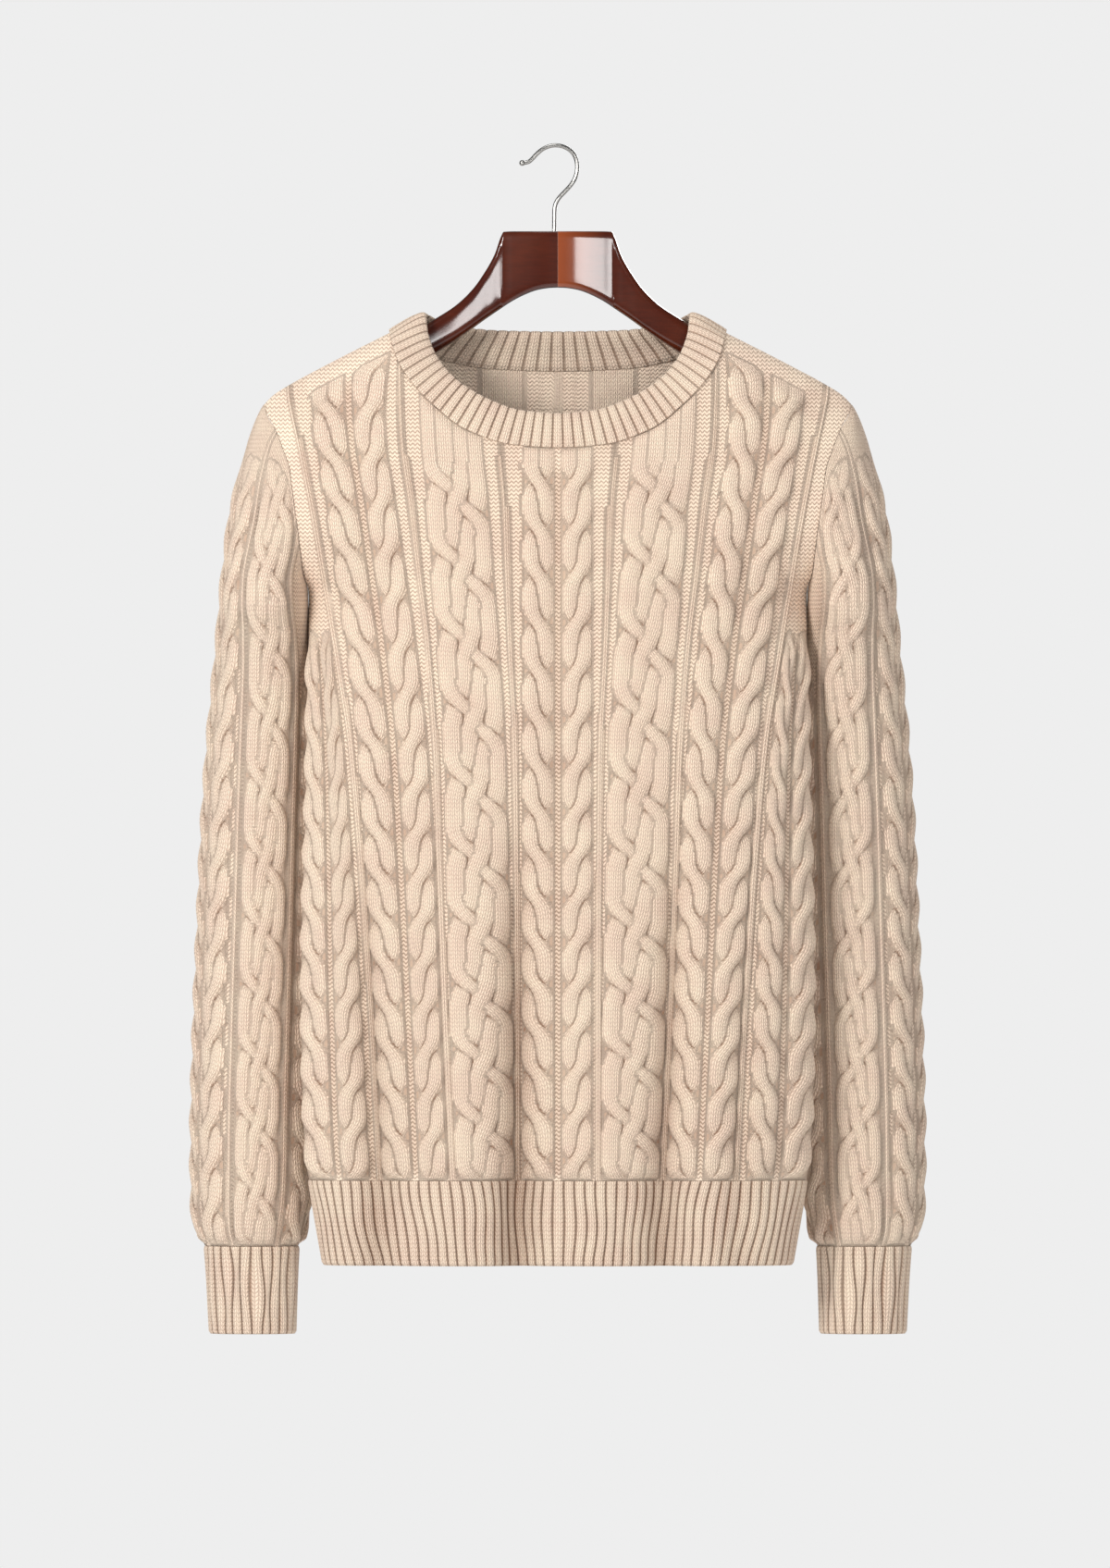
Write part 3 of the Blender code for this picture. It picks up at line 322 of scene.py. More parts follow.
def strandStack(places, heights, slopes, across, width):
    # the highest of several round strands, where a point lies across it, and the shade painted beside each
    # strand that passes over;
    # split is nothing on the line where one strand passes under the next
    top = np.full(across.shape, -1.0)
    beside = np.zeros(across.shape)
    lean = np.zeros(across.shape)
    shade = np.zeros(across.shape)
    sides = [np.zeros(across.shape), np.zeros(across.shape)]
    for k, (place, height, slope) in enumerate(zip(places, heights, slopes)):
        away = (across - place) / width
        level = height * np.maximum(0.0, 1 - np.abs(away) ** 2.2) ** 0.66
        sides[k % 2] = np.maximum(sides[k % 2], level)
        level = np.where(np.abs(away) < 1, level, -1.0)
        beside = np.where(level > top, away, beside)
        lean = np.where(level > top, slope, lean)
        top = np.maximum(top, level)
        over = np.clip((height - 0.76) / 0.24, 0, 1)
        rim = np.exp(-(((np.abs(away) - 0.85) / cable["shadeWide"]) ** 2))
        shade = np.maximum(shade, over * rim)
    return top, beside, lean, shade, sides[0] - sides[1]


def ropeStack(across, z, hand, kind, last):
    # one rope of two strands; across runs from -1 to 1, and the strands run straight after the last
    count = ropeCrossings(z) + ropeShift[kind]
    turn = math.pi * (0.5 - np.minimum(count, last))
    rate = math.pi * (ropeCrossings(z + 1) - ropeCrossings(z - 1)) / 2 * (count < last)
    form = cable["rope"]
    places, heights, slopes = [], [], []
    for k in range(2):
        phase = turn + k * math.pi
        swing = np.cos(phase) * (1.0 - 0.18 * np.cos(2 * phase)) / 0.82
        turned = np.sin(phase) * (1.0 + 0.5 * np.cos(phase) ** 2)
        places.append(-hand * form["swing"] * swing)
        heights.append(form["level"] + form["lift"] * np.sin(phase))
        slopes.append(-hand * form["swing"] * turned * rate)
    return strandStack(places, heights, slopes, across, form["strand"])


def plaitPath(s):
    # a strand's place across the plait, and its height
    place = plait["outerPlace"] * (2 * ease(s, *plait["run"]) - 1)
    for step in plait["steps"]:
        along = ease(s, step - plait["stepWide"], step + plait["stepWide"])
        place = place - plait["outerPlace"] * 2 / 3 * along
    height = np.full(s.shape, plait["level"])
    for centre, over in plait["crossings"]:
        height = height + plait["lift"] * over * np.exp(-(((s - centre) / plait["crossingWide"]) ** 2))
    return place, height


def plaitStack(across, z, last):
    count = plaitTurns(z)
    turn = plait["corner"] - np.minimum(count, last)
    rate = (plaitTurns(z + 1) - plaitTurns(z - 1)) / 2 * (count < last)
    places, heights, slopes = [], [], []
    ahead = 0.02
    for k in range(4):
        place, height = plaitPath((turn + k) % 4)
        places.append(place)
        heights.append(height)
        slopes.append(-(plaitPath((turn + k + ahead) % 4)[0] - place) / ahead * rate)
    return strandStack(places, heights, slopes, across, cable["plait"]["strand"])


knitLayers = ("purl", "paintedShade", "split", "grooveShade")


class Knit:
    # what the knitting does at every point of a piece: its height, its stitches and the shade painted in
    # its hollows
    def __init__(self, across, z):
        self.height = np.zeros(z.shape)
        self.u = across.copy()
        self.v = z.copy()
        self.purl = np.ones(z.shape)
        # the purl ground between the cables is painted with a little shade
        self.paintedShade = np.full(z.shape, cable["groundPaintedShade"])
        self.split = np.full(z.shape, 1.0)
        self.grooveShade = np.zeros(z.shape)

    def lay(self, where, stack, local, reach, form, z, fade, calm):
        # calm is 1 where the stitches lie flat, with no strands
        top, beside, lean, shade, split = (a[where] for a in stack)
        calm, fade, z, local = calm[where], fade[where], z[where], local[where]
        flat = cable["flat"] * np.maximum(0.0, 1 - np.abs(local) ** 8) ** 0.5
        under = cable["under"] * np.maximum(0.0, 1 - np.abs(local) ** 3) ** 0.5
        lost = ease(under - top, -0.10, 0.15)
        level = np.maximum(top, under)
        level = level + (flat - level) * calm
        self.height[where] = form["high"] * level * fade
        raised = (level * fade) > cable["bare"]
        slope = lean * reach
        longer = np.sqrt(1 + slope**2)
        off = beside * (reach * form["strand"])
        self.u[where] = np.where(raised, off / longer, self.u[where])
        self.v[where] = np.where(raised, z * cable["stretch"] + off * slope / longer, self.v[where])
        self.purl[where] = np.where(raised, 0.0, 1.0)
        # painted shade: darker near a strand's edges, beside strands that pass over, and in the notches
        # between strands
        edge = ease(np.abs(beside), 0.74, 1.0) * 0.3
        dark = np.maximum(np.maximum(shade * 0.25, edge), lost * 0.35) * (1 - calm)
        self.paintedShade[where] = np.where(raised, dark * fade, self.paintedShade[where])
        self.split[where] = split
        # the grooves are sunk in the bump and painted darker
        grooveShade = np.maximum(shade, form["grooveShade"]) * ease(top, 0.12, 0.40)
        self.grooveShade[where] = grooveShade * (1 - calm) * fade * raised

    def layPlait(self, where, across, z, reach, fade, calm, last=endless):
        self.lay(where, plaitStack(across, z, last), across, reach, cable["plait"], z, fade, calm)

    def layPair(self, where, across, z, kind, fade, calm, last=endless):
        # two ropes side by side, twisted opposite ways
        reach = cable["pairHalf"] * cable["ropeReach"]
        for middle, hand in ((-cable["ropeCentre"], 1), (cable["ropeCentre"], -1)):
            local = (across - middle) / cable["ropeReach"]
            part = where & (np.abs(local) <= cable["ropeEdge"])
            stack = ropeStack(local, z, hand, kind, last)
            self.lay(part, stack, local, reach, cable["rope"], z, fade, calm)

    def rib(self, distance, fade):
        away = np.abs(distance) / (cable["ribHalf"] * 1.25)
        near = away < 1
        shape = np.maximum(0.0, 1 - away**2.5) ** 0.6
        raised = np.maximum(self.height, cable["ribHigh"] * shape * fade)
        split = 0.35 * np.exp(-((distance / 0.4) ** 2))
        self.height = np.where(near, raised - split * fade, self.height)
        self.u = np.where(near, distance + cable["wale"], self.u)
        self.purl = np.where(near, 0.0, self.purl)
        # painted shade along the rib's edges and down its middle
        self.paintedShade = np.where(near, 0.45 * away**4 + split, self.paintedShade)

    def parts(self):
        return {key: getattr(self, key) for key in ("height", "u", "v") + knitLayers}


# turning grids of points into pieces
def toMetres(points):
    return (points - np.array([0.0, hookBehind, 0.0])) / 1000


def gridNormals(points, closed=False):
    across = np.gradient(points, axis=1)
    if closed:
        across[:, 0] = across[:, -1] = (points[:, 1] - points[:, -2]) / 2
    return unit(np.cross(across, np.gradient(points, axis=0)))


def addGrid(name, points, knit):
    rows, columns = points.shape[:2]
    bpy.ops.object.select_all(action="DESELECT")
    bpy.ops.mesh.primitive_grid_add(x_subdivisions=columns - 1, y_subdivisions=rows - 1, size=1)
    piece = bpy.context.active_object
    mesh = piece.data
    piece.name = mesh.name = name
    mesh.vertices.foreach_set("co", toMetres(points).astype(np.float32).ravel())
    corners = np.zeros(len(mesh.loops), np.int32)
    mesh.loops.foreach_get("vertex_index", corners)
    uv = np.stack([knit["u"].ravel(), knit["v"].ravel()], axis=-1)[corners] / 1000
    mesh.uv_layers[0].name = "stitches"
    mesh.uv_layers[0].data.foreach_set("uv", uv.astype(np.float32).ravel())
    for key in [key for key in knitLayers if key in knit]:
        layer = mesh.attributes.new(key, "FLOAT", "POINT")
        layer.data.foreach_set("value", knit[key].astype(np.float32).ravel())
    mesh.update()
    return piece


def smoothed(piece, angle, mended=False, capped=False):
    # smooth but for the sharp edges; a mended piece has its seam merged and its faces turned outwards
    if mended:
        bpy.ops.object.mode_set(mode="EDIT")
        bpy.ops.mesh.select_all(action="SELECT")
        bpy.ops.mesh.remove_doubles(threshold=1e-6)
        if capped:
            bpy.ops.mesh.select_all(action="DESELECT")
            bpy.ops.mesh.select_non_manifold()
            bpy.ops.mesh.edge_face_add()
            bpy.ops.mesh.select_all(action="SELECT")
        bpy.ops.mesh.normals_make_consistent(inside=False)
        bpy.ops.object.mode_set(mode="OBJECT")
    bpy.ops.object.shade_smooth_by_angle(angle=math.radians(angle))
    return piece


def joinWalls(name, outer, inner, rowPick, columnPick, closed):
    # the fine outer grid and the coarse inner one become one closed wall
    rows, columns = outer["points"].shape[:2]
    fine = addGrid(name, outer["points"], outer)
    coarse = addGrid(name + "Inside", inner["points"], inner)
    bpy.ops.object.mode_set(mode="EDIT")
    bpy.ops.mesh.select_all(action="SELECT")
    bpy.ops.mesh.flip_normals()
    bpy.ops.object.mode_set(mode="OBJECT")
    bpy.ops.object.select_all(action="DESELECT")
    coarse.select_set(True)
    fine.select_set(True)
    bpy.context.view_layer.objects.active = fine
    bpy.ops.object.join()
    shape = bmesh.new()
    shape.from_mesh(fine.data)
    shape.verts.ensure_lookup_table()
    start, wide = rows * columns, len(columnPick)

    def rim(outside, inside, backwards):
        corners = outside + inside[::-1]
        corners = corners[::-1] if backwards else corners
        shape.faces.new([shape.verts[i] for i in corners])

    for j in range(wide - 1):
        run = list(range(columnPick[j], columnPick[j + 1] + 1))
        rim(run, [start + j, start + j + 1], True)
        top = start + (len(rowPick) - 1) * wide
        rim([(rows - 1) * columns + i for i in run], [top + j, top + j + 1], False)
    if not closed:
        for j in range(len(rowPick) - 1):
            run = [i * columns for i in range(rowPick[j], rowPick[j + 1] + 1)]
            rim(run, [start + j * wide, start + (j + 1) * wide], False)
            far = [i + columns - 1 for i in run]
            rim(far, [start + j * wide + wide - 1, start + (j + 2) * wide - 1], True)
    else:
        bmesh.ops.remove_doubles(shape, verts=shape.verts, dist=1e-6)
    shape.to_mesh(fine.data)
    shape.free()
    return smoothed(fine, 75)


def liningOf(knit, base, normal, rowPick, columnPick):
    # the coarse inner wall, the cloth's thickness behind the outer one
    chosen = np.ix_(rowPick, columnPick)
    lining = {key: knit[key][chosen] for key in ("u", "v", "purl", "paintedShade")}
    lining["points"] = base[chosen] - normal[chosen] * body["wall"]
    return lining, normal[chosen]


def picks(count, step):
    chosen = list(range(0, count, step))
    if chosen[-1] != count - 1:
        chosen.append(count - 1)
    return chosen


# the front and the back
panel = {
    "columnsInCable": 28,
    "columnsInPlait": 26,
    "columnsInGround": 5,
    "rows": {"front": 318, "back": 296},
    "lastCrossing": {"front": {"centre": 15.5, "plait": 9.62}, "back": {"centre": 16.5, "plait": 10.62}},
    "sideCablesTop": -352.0,
    "cornerTop": -150.0,
    "cornerBlend": 70.0,
    "columnsWithSideSeam": 4,
    "sideReach": 0.42,
    "highest": -132.0,
    "insidePaintedShade": -0.15,
    "insideWales": 0.7,
    "yoke": {"half": 122.0, "row": -40, "rows": 64},  # the part of the inside that shows through the neck
    "pairFrom": (12.0, 28.0),
}


def panelMarks():
    # across a panel: what each mark is, and how many columns run from it to the next
    blocks = [("side", -1), ("pair", -1), ("plait", -1), ("centre", 0)]
    blocks += [("plait", 1), ("pair", 1), ("side", 1)]
    marks = [(("edge", -1), 0, panel["columnsWithSideSeam"])]
    for number, block in enumerate(blocks):
        if number:
            marks.append((("rib", number), 0, panel["columnsInGround"]))
        inside = panel["columnsInPlait"] if block[0] == "plait" else panel["columnsInCable"]
        marks.append((block, -1, inside))
        last = panel["columnsWithSideSeam"] if number == len(blocks) - 1 else panel["columnsInGround"]
        marks.append((block, 1, last))
    return marks + [(("edge", 1), 0, 0)]


def alongEdge(face, z, startX, share):
    # the x a share of the way along the cloth from startX to the edge
    edgeX, _ = panelEdge(face, z)
    steps = 16
    shares = [math.sin(k / steps * math.pi / 2) for k in range(steps + 1)]
    xs = np.stack([startX + (edgeX - startX) * s for s in shares])
    run, length = runAlong(panelPoint(face, xs, np.broadcast_to(z, xs.shape)))
    wanted = share * length[-1]
    x = edgeX.copy()
    for k in range(steps - 1, -1, -1):
        inside = length[k + 1] >= wanted
        found = xs[k] + (xs[k + 1] - xs[k]) * (wanted - length[k]) / np.maximum(run[k], 1e-9)
        x = np.where(inside, found, x)
    return x


def markX(face, block, place, z):
    inner, middle, outer = (ribForm[name](z) for name in ("inner", "middle", "outer"))
    kind, side = block

    def fitted(half, room):
        return np.minimum(half, room - cable["ladder"])

    if kind == "edge":
        return side * panelEdge(face, z)[0]
    if kind == "rib":
        return [None, -outer, -middle, -inner, inner, middle, outer][side]
    if kind == "centre":
        return place * fitted(cable["pairHalf"], inner)
    if kind == "plait":
        return side * (inner + middle) / 2 + place * fitted(cable["plaitHalf"], (middle - inner) / 2)
    if kind == "pair":
        x = side * (middle + outer) / 2 + place * fitted(cable["pairHalf"], (outer - middle) / 2)
        if place * side == -1:
            share = np.clip((panel["cornerTop"] - z) / panel["cornerBlend"], 0, 1)
            x = side * body["neckSideX"] + (x - side * body["neckSideX"]) * share
        return x
    return side * alongEdge(face, z, outer, 0.5 + panel["sideReach"] * place * side)


def panelColumns():
    # each column of points: the two marks it runs between, and how far from the first
    marks = panelMarks()
    columns = []
    for number, (_, _, count) in enumerate(marks[:-1]):
        columns += [(number, k / count) for k in range(count)]
    columns.append((len(marks) - 2, 1.0))
    return marks, columns


def columnX(face, marks, column, z):
    number, share = column
    first, second = marks[number], marks[number + 1]
    low = markX(face, first[0], first[1], z)
    if share == 0:
        return low
    high = markX(face, second[0], second[1], z)
    return low + (high - low) * share


def panelTop(face, x):
    x = abs(float(x))
    if x < body["neckSideX"] - 1e-4:
        return float(necklineForm[face]["z"](x))
    return float(shoulderForm["z"](x))


def columnTop(face, marks, column):
    # the height at which a column meets the neckline or the shoulder
    top, tries = -180.0, 40
    for _ in range(tries):
        x = float(columnX(face, marks, column, np.array(min(top, panel["highest"]))))
        top += 0.5 * (panelTop(face, x) - top)
    return top


def makePanel(name, face):
    marks, columns = panelColumns()
    turn = -towards[face]
    rows = panel["rows"][face]
    step = np.linspace(0, 1, rows + 1)
    points = np.zeros((rows + 1, len(columns), 3))
    for i, column in enumerate(columns):
        side = {0: -1, len(columns) - 1: 1}.get(i)
        top = body["shoulderEnd"] if side else columnTop(face, marks, column)
        z = body["hemSeam"] + (top - body["hemSeam"]) * step
        points[:, i] = panelPoint(face, columnX(face, marks, column, z), z)
        if side:
            x, y = panelEdge(face, z)
            points[:, i, 0], points[:, i, 1] = side * x, y
    x, z = points[..., 0].copy(), points[..., 2].copy()
    knit = panelKnit(face, marks, columns, x, z)
    over = np.abs(points[-1, :, 0]) > body["neckSideX"] - 1e-3
    points[-1, over, 1] = body["tipY"]
    points[..., 0] *= turn
    normal = gridNormals(points)
    normal[0, :, 2] = 0
    normal[-1, over, 1] = 0
    normal = unit(normal)
    base = points.copy()
    base[..., 1] += -turn * body["seamGap"] / 2
    for side, i in ((-1, 0), (1, len(columns) - 1)):
        base[:, i, 0] += -side * turn * 0.1
    outer = dict(knit, points=base + normal * knit["height"][..., None])
    rowPick, columnPick = picks(rows + 1, 5), picks(len(columns), 4)
    if face == "back":
        yoke = panel["yoke"]
        seen = [i for i in range(0, len(columns), 2) if abs(x[yoke["row"], i]) < yoke["half"]]
        columnPick = sorted(set(columnPick) | set(seen))
        rowPick = sorted(set(rowPick) | set(range(rows - yoke["rows"], rows + 1, 2)))
    lining, inwards = liningOf(knit, base, normal, rowPick, columnPick)
    # what is plain on the outside is purl on the inside
    lining["purl"] = 1 - lining["purl"]
    # the inside is painted a little lighter: its painted shade is below nothing
    lining["paintedShade"] = np.full(lining["paintedShade"].shape, panel["insidePaintedShade"])
    raised = panel["insideWales"] * (1 - lining["purl"])
    raised[0] = raised[-1] = 0
    raised[:, 0] = raised[:, -1] = 0
    lining["points"] = lining["points"] - inwards * raised[..., None]
    return joinWalls(name, outer, lining, rowPick, columnPick, False)


def panelKnit(face, marks, columns, x, z):
    number = np.array([c[0] for c in columns])
    across = np.broadcast_to(-1 + 2 * np.array([c[1] for c in columns]), z.shape)
    knit = Knit(x, z)
    row = np.arange(z.shape[0])[:, None] * np.ones(z.shape)
    fade = ease(row, 0, 4) * ease(z.shape[0] - 1 - row, 0, 5)
    for n, (block, place, _) in enumerate(marks[:-1]):
        kind = block[0]
        if place != -1 or kind in ("edge", "rib"):
            continue
        where = np.zeros(z.shape, bool)
        where[:, (number == n)] = True
        last = panel["lastCrossing"][face].get(kind, endless)
        count = plaitTurns(z) if kind == "plait" else ropeCrossings(z)
        calm = ease(count, last - 0.42, last - 0.05)
        if kind == "plait":
            knit.layPlait(where, across, z, cable["plaitHalf"], fade, calm, last)
            continue
        shown = fade
        if kind == "side":
            shown = fade * ease(-z, -panel["sideCablesTop"] - 8, -panel["sideCablesTop"] + 16)
        if kind == "pair":
            below = shoulderForm["z"](np.minimum(np.abs(x), body["tipX"])) - z
            shown = fade * ease(below, *panel["pairFrom"])
        # painted shade on the ground between the two ropes of a pair
        knit.paintedShade[where] = (cable["ladderPaintedShade"] * shown * (1 - calm))[where]
        knit.layPair(where, across, z, kind, shown, calm, last)
    for block, _, _ in marks:
        if block[0] == "rib":
            knit.rib(x - markX(face, block, 0, z), fade)
    if face == "front":
        # painted shade along the creases
        knit.paintedShade = np.minimum(knit.paintedShade + creased("dark", x, z), 1.0)
    return knit.parts()


frontPanel = makePanel("frontPanel", "front")
print("front made", len(frontPanel.data.polygons))
backPanel = makePanel("backPanel", "back")
print("back made", len(backPanel.data.polygons))


# the sleeves
sleeve = {
    "cuffSeam": -785.0,
    "cuffEnd": -848.0,
    "columns": 128,
    "rows": 306,
    "capFade": (215.0, 268.0),
    "innerFade": (380.0, 420.0),
    "plaitHalf": 15.5,
    "quarterNeeded": 58.0,
    # a line of painted shade along the inner rib, where a crease would fall; the sleeve's form has no
    # crease there
    "crease": {"at": 1.45, "wide": 0.12, "dark": 0.45, "from": 260.0, "to": 330.0},
    # kinds of cable and ribs, and how far round they stand, in quarters from the farthest line
    "cables": [
        ("sleeveOuter", 0.26),
        ("plait", 1.05),
        ("sleeveInner", 1.86),
        ("plait", 2.98),
        ("sleeveOuter", 4.26),
    ],
    "ribs": [0.725, 1.375, 2.50, 3.45],
}


def sleeveLengths():
    # how far round the sleeve each angle reaches, for many heights
    zs = np.linspace(-850, body["shoulderEnd"], 334)
    angles = np.linspace(0, 180, 91)
    x, y = sleeveAround(zs[:, None], angles[None, :])
    run = np.hypot(np.diff(x, axis=1), np.diff(y, axis=1))
    length = np.concatenate([np.zeros((len(zs), 1)), np.cumsum(run, axis=1)], axis=1)
    return zs, angles, length


sleeveZs, sleeveAngles, sleeveLength = sleeveLengths()


def angleAt(z, distance):
    place = np.clip((z - sleeveZs[0]) / (sleeveZs[1] - sleeveZs[0]), 0, len(sleeveZs) - 1.001)
    low = place.astype(int)
    part = place - low
    result = np.zeros(z.shape)
    for k in np.ndindex(z.shape):
        a = np.interp(distance[k], sleeveLength[low[k]], sleeveAngles)
        b = np.interp(distance[k], sleeveLength[low[k] + 1], sleeveAngles)
        result[k] = a + (b - a) * part[k]
    return result


def quarterLength(z):
    return np.interp(z, sleeveZs, sleeveLength[:, len(sleeveAngles) // 2])


def makeSleeve(name, side):
    rows, columns = sleeve["rows"], sleeve["columns"]
    # share runs from the farthest line (0) round the front to the inner line (2), in quarters
    share = np.linspace(0, 4, columns + 1)
    half = np.where(share <= 2, share, 4 - share)
    step = np.linspace(0, 1, rows + 1)
    tops = []
    for s in half:
        low, high = body["underarm"], body["shoulderEnd"]
        for _ in range(26):
            middle = np.array([(low + high) / 2])
            d = s * quarterLength(np.minimum(middle, body["wholeSleeve"])) * capSpread(middle)
            if angleAt(middle, d)[0] < sleeveForm["wrap"](middle)[0]:
                low = middle[0]
            else:
                high = middle[0]
        tops.append(body["underarm"] if s > 1.999 else low)
    tops = np.array(tops)
    z = sleeve["cuffSeam"] + (tops[None, :] - sleeve["cuffSeam"]) * step[:, None]
    quarter = quarterLength(np.minimum(z, body["wholeSleeve"]))
    angle = angleAt(z, half[None, :] * quarter * capSpread(z))
    angle[-1] = sleeveForm["wrap"](z[-1])
    x, out = sleeveAround(z, angle)
    isFront = (share <= 2) == (side < 0)
    y = sleeveForm["centreY"](z) + np.where(isFront[None, :], -out, out)
    points = np.stack([x * side, y, z], axis=-1)
    points[:, -1] = points[:, 0]
    knit = sleeveKnit(share, quarter, z, side)
    normal = gridNormals(points, closed=True)
    normal[0, :, 2] = 0
    normal = unit(normal)
    base = points.copy()
    base[-1, :, 0] += side * 0.2
    outer = dict(knit, points=base + normal * knit["height"][..., None])
    rowPick, columnPick = picks(rows + 1, 5), picks(columns + 1, 4)
    lining, _ = liningOf(knit, base, normal, rowPick, columnPick)
    return joinWalls(name, outer, lining, rowPick, columnPick, True)


def sleeveKnit(share, quarter, z, side):
    # the right sleeve's cables stand the other way round
    share = share if side < 0 else 4 - share
    knit = Knit(share * quarter, z)
    tight = np.minimum(1.0, quarter / sleeve["quarterNeeded"])
    row = np.arange(z.shape[0])[:, None] * np.ones(z.shape)
    ends = ease(row, 0, 4) * ease(z.shape[0] - 1 - row, 3, 12)
    cap = ease(-z, *sleeve["capFade"]) * ends
    inner = ease(-z, *sleeve["innerFade"]) * ends
    moving = np.zeros(z.shape)
    for kind, middle in sleeve["cables"]:
        offset = (share[None, :] - middle) * quarter / tight
        if kind == "plait":
            across = offset / sleeve["plaitHalf"]
            knit.layPlait(np.abs(across) <= 1, across, z, sleeve["plaitHalf"], cap, moving)
        else:
            fade = inner if kind == "sleeveInner" else cap
            knit.layPair(True, offset / cable["pairHalf"], z, kind, fade, moving)
    for middle in sleeve["ribs"]:
        knit.rib((share[None, :] - middle) * quarter, cap)
    # painted shade along the inner rib
    crease = sleeve["crease"]
    turned = np.exp(-(((share[None, :] - crease["at"]) / crease["wide"]) ** 2))
    knit.paintedShade = knit.paintedShade + crease["dark"] * turned * ease(-z, crease["from"], crease["to"])
    knit.purl = knit.purl * (cap > 0.15)
    # less painted shade high on the sleeve and at its ends
    knit.paintedShade = knit.paintedShade * (0.4 + 0.6 * cap)
    return knit.parts()


sleeveLeft = makeSleeve("sleeveLeft", -1)
sleeveRight = makeSleeve("sleeveRight", 1)
print("sleeves made", len(sleeveLeft.data.polygons))


# the ribbed bands
band = {
    "neckShade": 0.8,
    "neckSwell": 0.85,
    "neckPitch": 7.1,
    "shoulderSlim": 0.6,
    "shoulderFrom": (72.0, 92.0),
    "hemRibs": 112,
    "cuffRibs": 26,
    "neckRibsFront": 46,
    "neckRibsBack": 28,
    "columnsInRib": 10,
    "swell": 1.15,
    "wander": 0.22,
    "bandSideX": 94.0,
    "depth": {"front": 44.0, "back": 29.0},
}


def ribShape(turns):
    # a broad round ridge and a narrow furrow, once a turn
    away = np.abs((turns + 0.5) % 1 - 0.5) * 2
    ridge = np.sqrt(np.maximum(0, 1 - (away / 0.98) ** 2.6))
    return 2 * ridge - 1


def ribKnit(turns, z, pitch):
    away = (turns + 0.5) % 1 - 0.5
    # painted shade in each furrow
    paintedShade = ease(np.abs(away), 0.24, 0.5) * 0.95
    return {"u": away * pitch, "v": z, "purl": np.zeros(z.shape), "paintedShade": paintedShade}


def spacedAlong(line, count, closed, shift=0.0):
    ring = np.concatenate([line, line[:1]]) if closed else line
    _, length = runAlong(ring)
    wanted = (length[-1] * (np.arange(count) + shift) / count) % length[-1]
    return np.stack([np.interp(wanted, length, ring[:, k]) for k in range(3)], axis=-1)


def makeRibbedTube(name, outline, top, bottom, ribs, rowCount):
    columns = ribs * band["columnsInRib"]
    turn = 2 * math.pi * np.arange(columns) / columns
    rings = []
    for z in np.linspace(bottom, top, rowCount + 1):
        # the ribs wander a little from side to side as they go down
        below = (top - z) / (top - bottom)
        wander = np.sin(7 * turn + 2.2 * below) + 0.7 * np.sin(12 * turn + 1 - 3.1 * below)
        shift = band["wander"] * band["columnsInRib"] * wander * math.sin(math.pi * min(below, 0.9))
        ring = spacedAlong(outline(z), columns, True, shift)
        rings.append(np.concatenate([ring, ring[:1]]))
    points = np.stack(rings)
    normal = gridNormals(points, closed=True)
    normal[..., 2] = 0
    normal = unit(normal)
    turns = np.broadcast_to(np.arange(columns + 1) / band["columnsInRib"], points.shape[:2])
    zs = points[..., 2]
    pitch = float(np.linalg.norm(np.diff(points[0], axis=0), axis=1).sum()) / ribs
    knit = ribKnit(turns, zs, pitch)
    # painted shade on the front of the band, where the creases run down into it
    facing = points[..., 1] < bodyForm["sideY"](zs)
    knit["paintedShade"] = knit["paintedShade"] + creased("dark", points[..., 0], zs) * facing
    swell = band["swell"] * ribShape(turns)
    nearTop = ease(top - zs, 0, 2.5)
    nearBottom = ease(zs - bottom, 0, 1.6)
    swell = swell * (0.35 + 0.65 * nearTop) * (0.75 + 0.25 * nearBottom) - 0.9 * (1 - nearBottom)
    outer = dict(knit, points=points + normal * swell[..., None])
    rowPick, columnPick = picks(rowCount + 1, 6), picks(columns + 1, 5)
    lining, _ = liningOf(knit, points, normal, rowPick, columnPick)
    return joinWalls(name, outer, lining, rowPick, columnPick, True)


def torsoOutline(z, steps=240):
    outline = []
    for face in ("front", "back"):
        zs = np.full(steps, float(z))
        half = float(panelEdge(face, zs[:1])[0][0])
        x = towards[face] * half * np.cos(np.pi * np.arange(steps) / steps)
        outline.append(panelPoint(face, x, zs))
    return np.concatenate(outline)


def cuffOutline(side):
    def outline(z, steps=120):
        turn = 360 * np.arange(steps) / steps
        front = (turn < 180) == (side < 0)
        zs = np.full(steps, float(z))
        x, out = sleeveAround(zs, np.where(turn < 180, turn, 360 - turn))
        y = sleeveForm["centreY"](zs) + np.where(front, -out, out)
        return np.stack([x * side, y, zs], axis=-1)

    return outline


hemTop, cuffTop = body["hemSeam"] - body["seamGap"], sleeve["cuffSeam"] - body["seamGap"]
hemBand = makeRibbedTube("hemBand", torsoOutline, hemTop, body["hemEnd"], band["hemRibs"], 30)
cuffLeft, cuffRight = (
    makeRibbedTube(name, cuffOutline(side), cuffTop, sleeve["cuffEnd"], band["cuffRibs"], 32)
    for name, side in (("cuffLeft", -1), ("cuffRight", 1))
)
print("ribs made", len(hemBand.data.polygons), len(cuffLeft.data.polygons))

foldForm = {
    "front": curves(
        "z",
        [(0, -190.5), (25, -188.5), (45.5, -182), (68.6, -169), (84.5, -152), (92, -134), (94, -118.6)],
    )["z"],
    "back": curves("z", [(0, -131.0), (45, -130.2), (78, -126.0), (94, -118.6)])["z"],
}
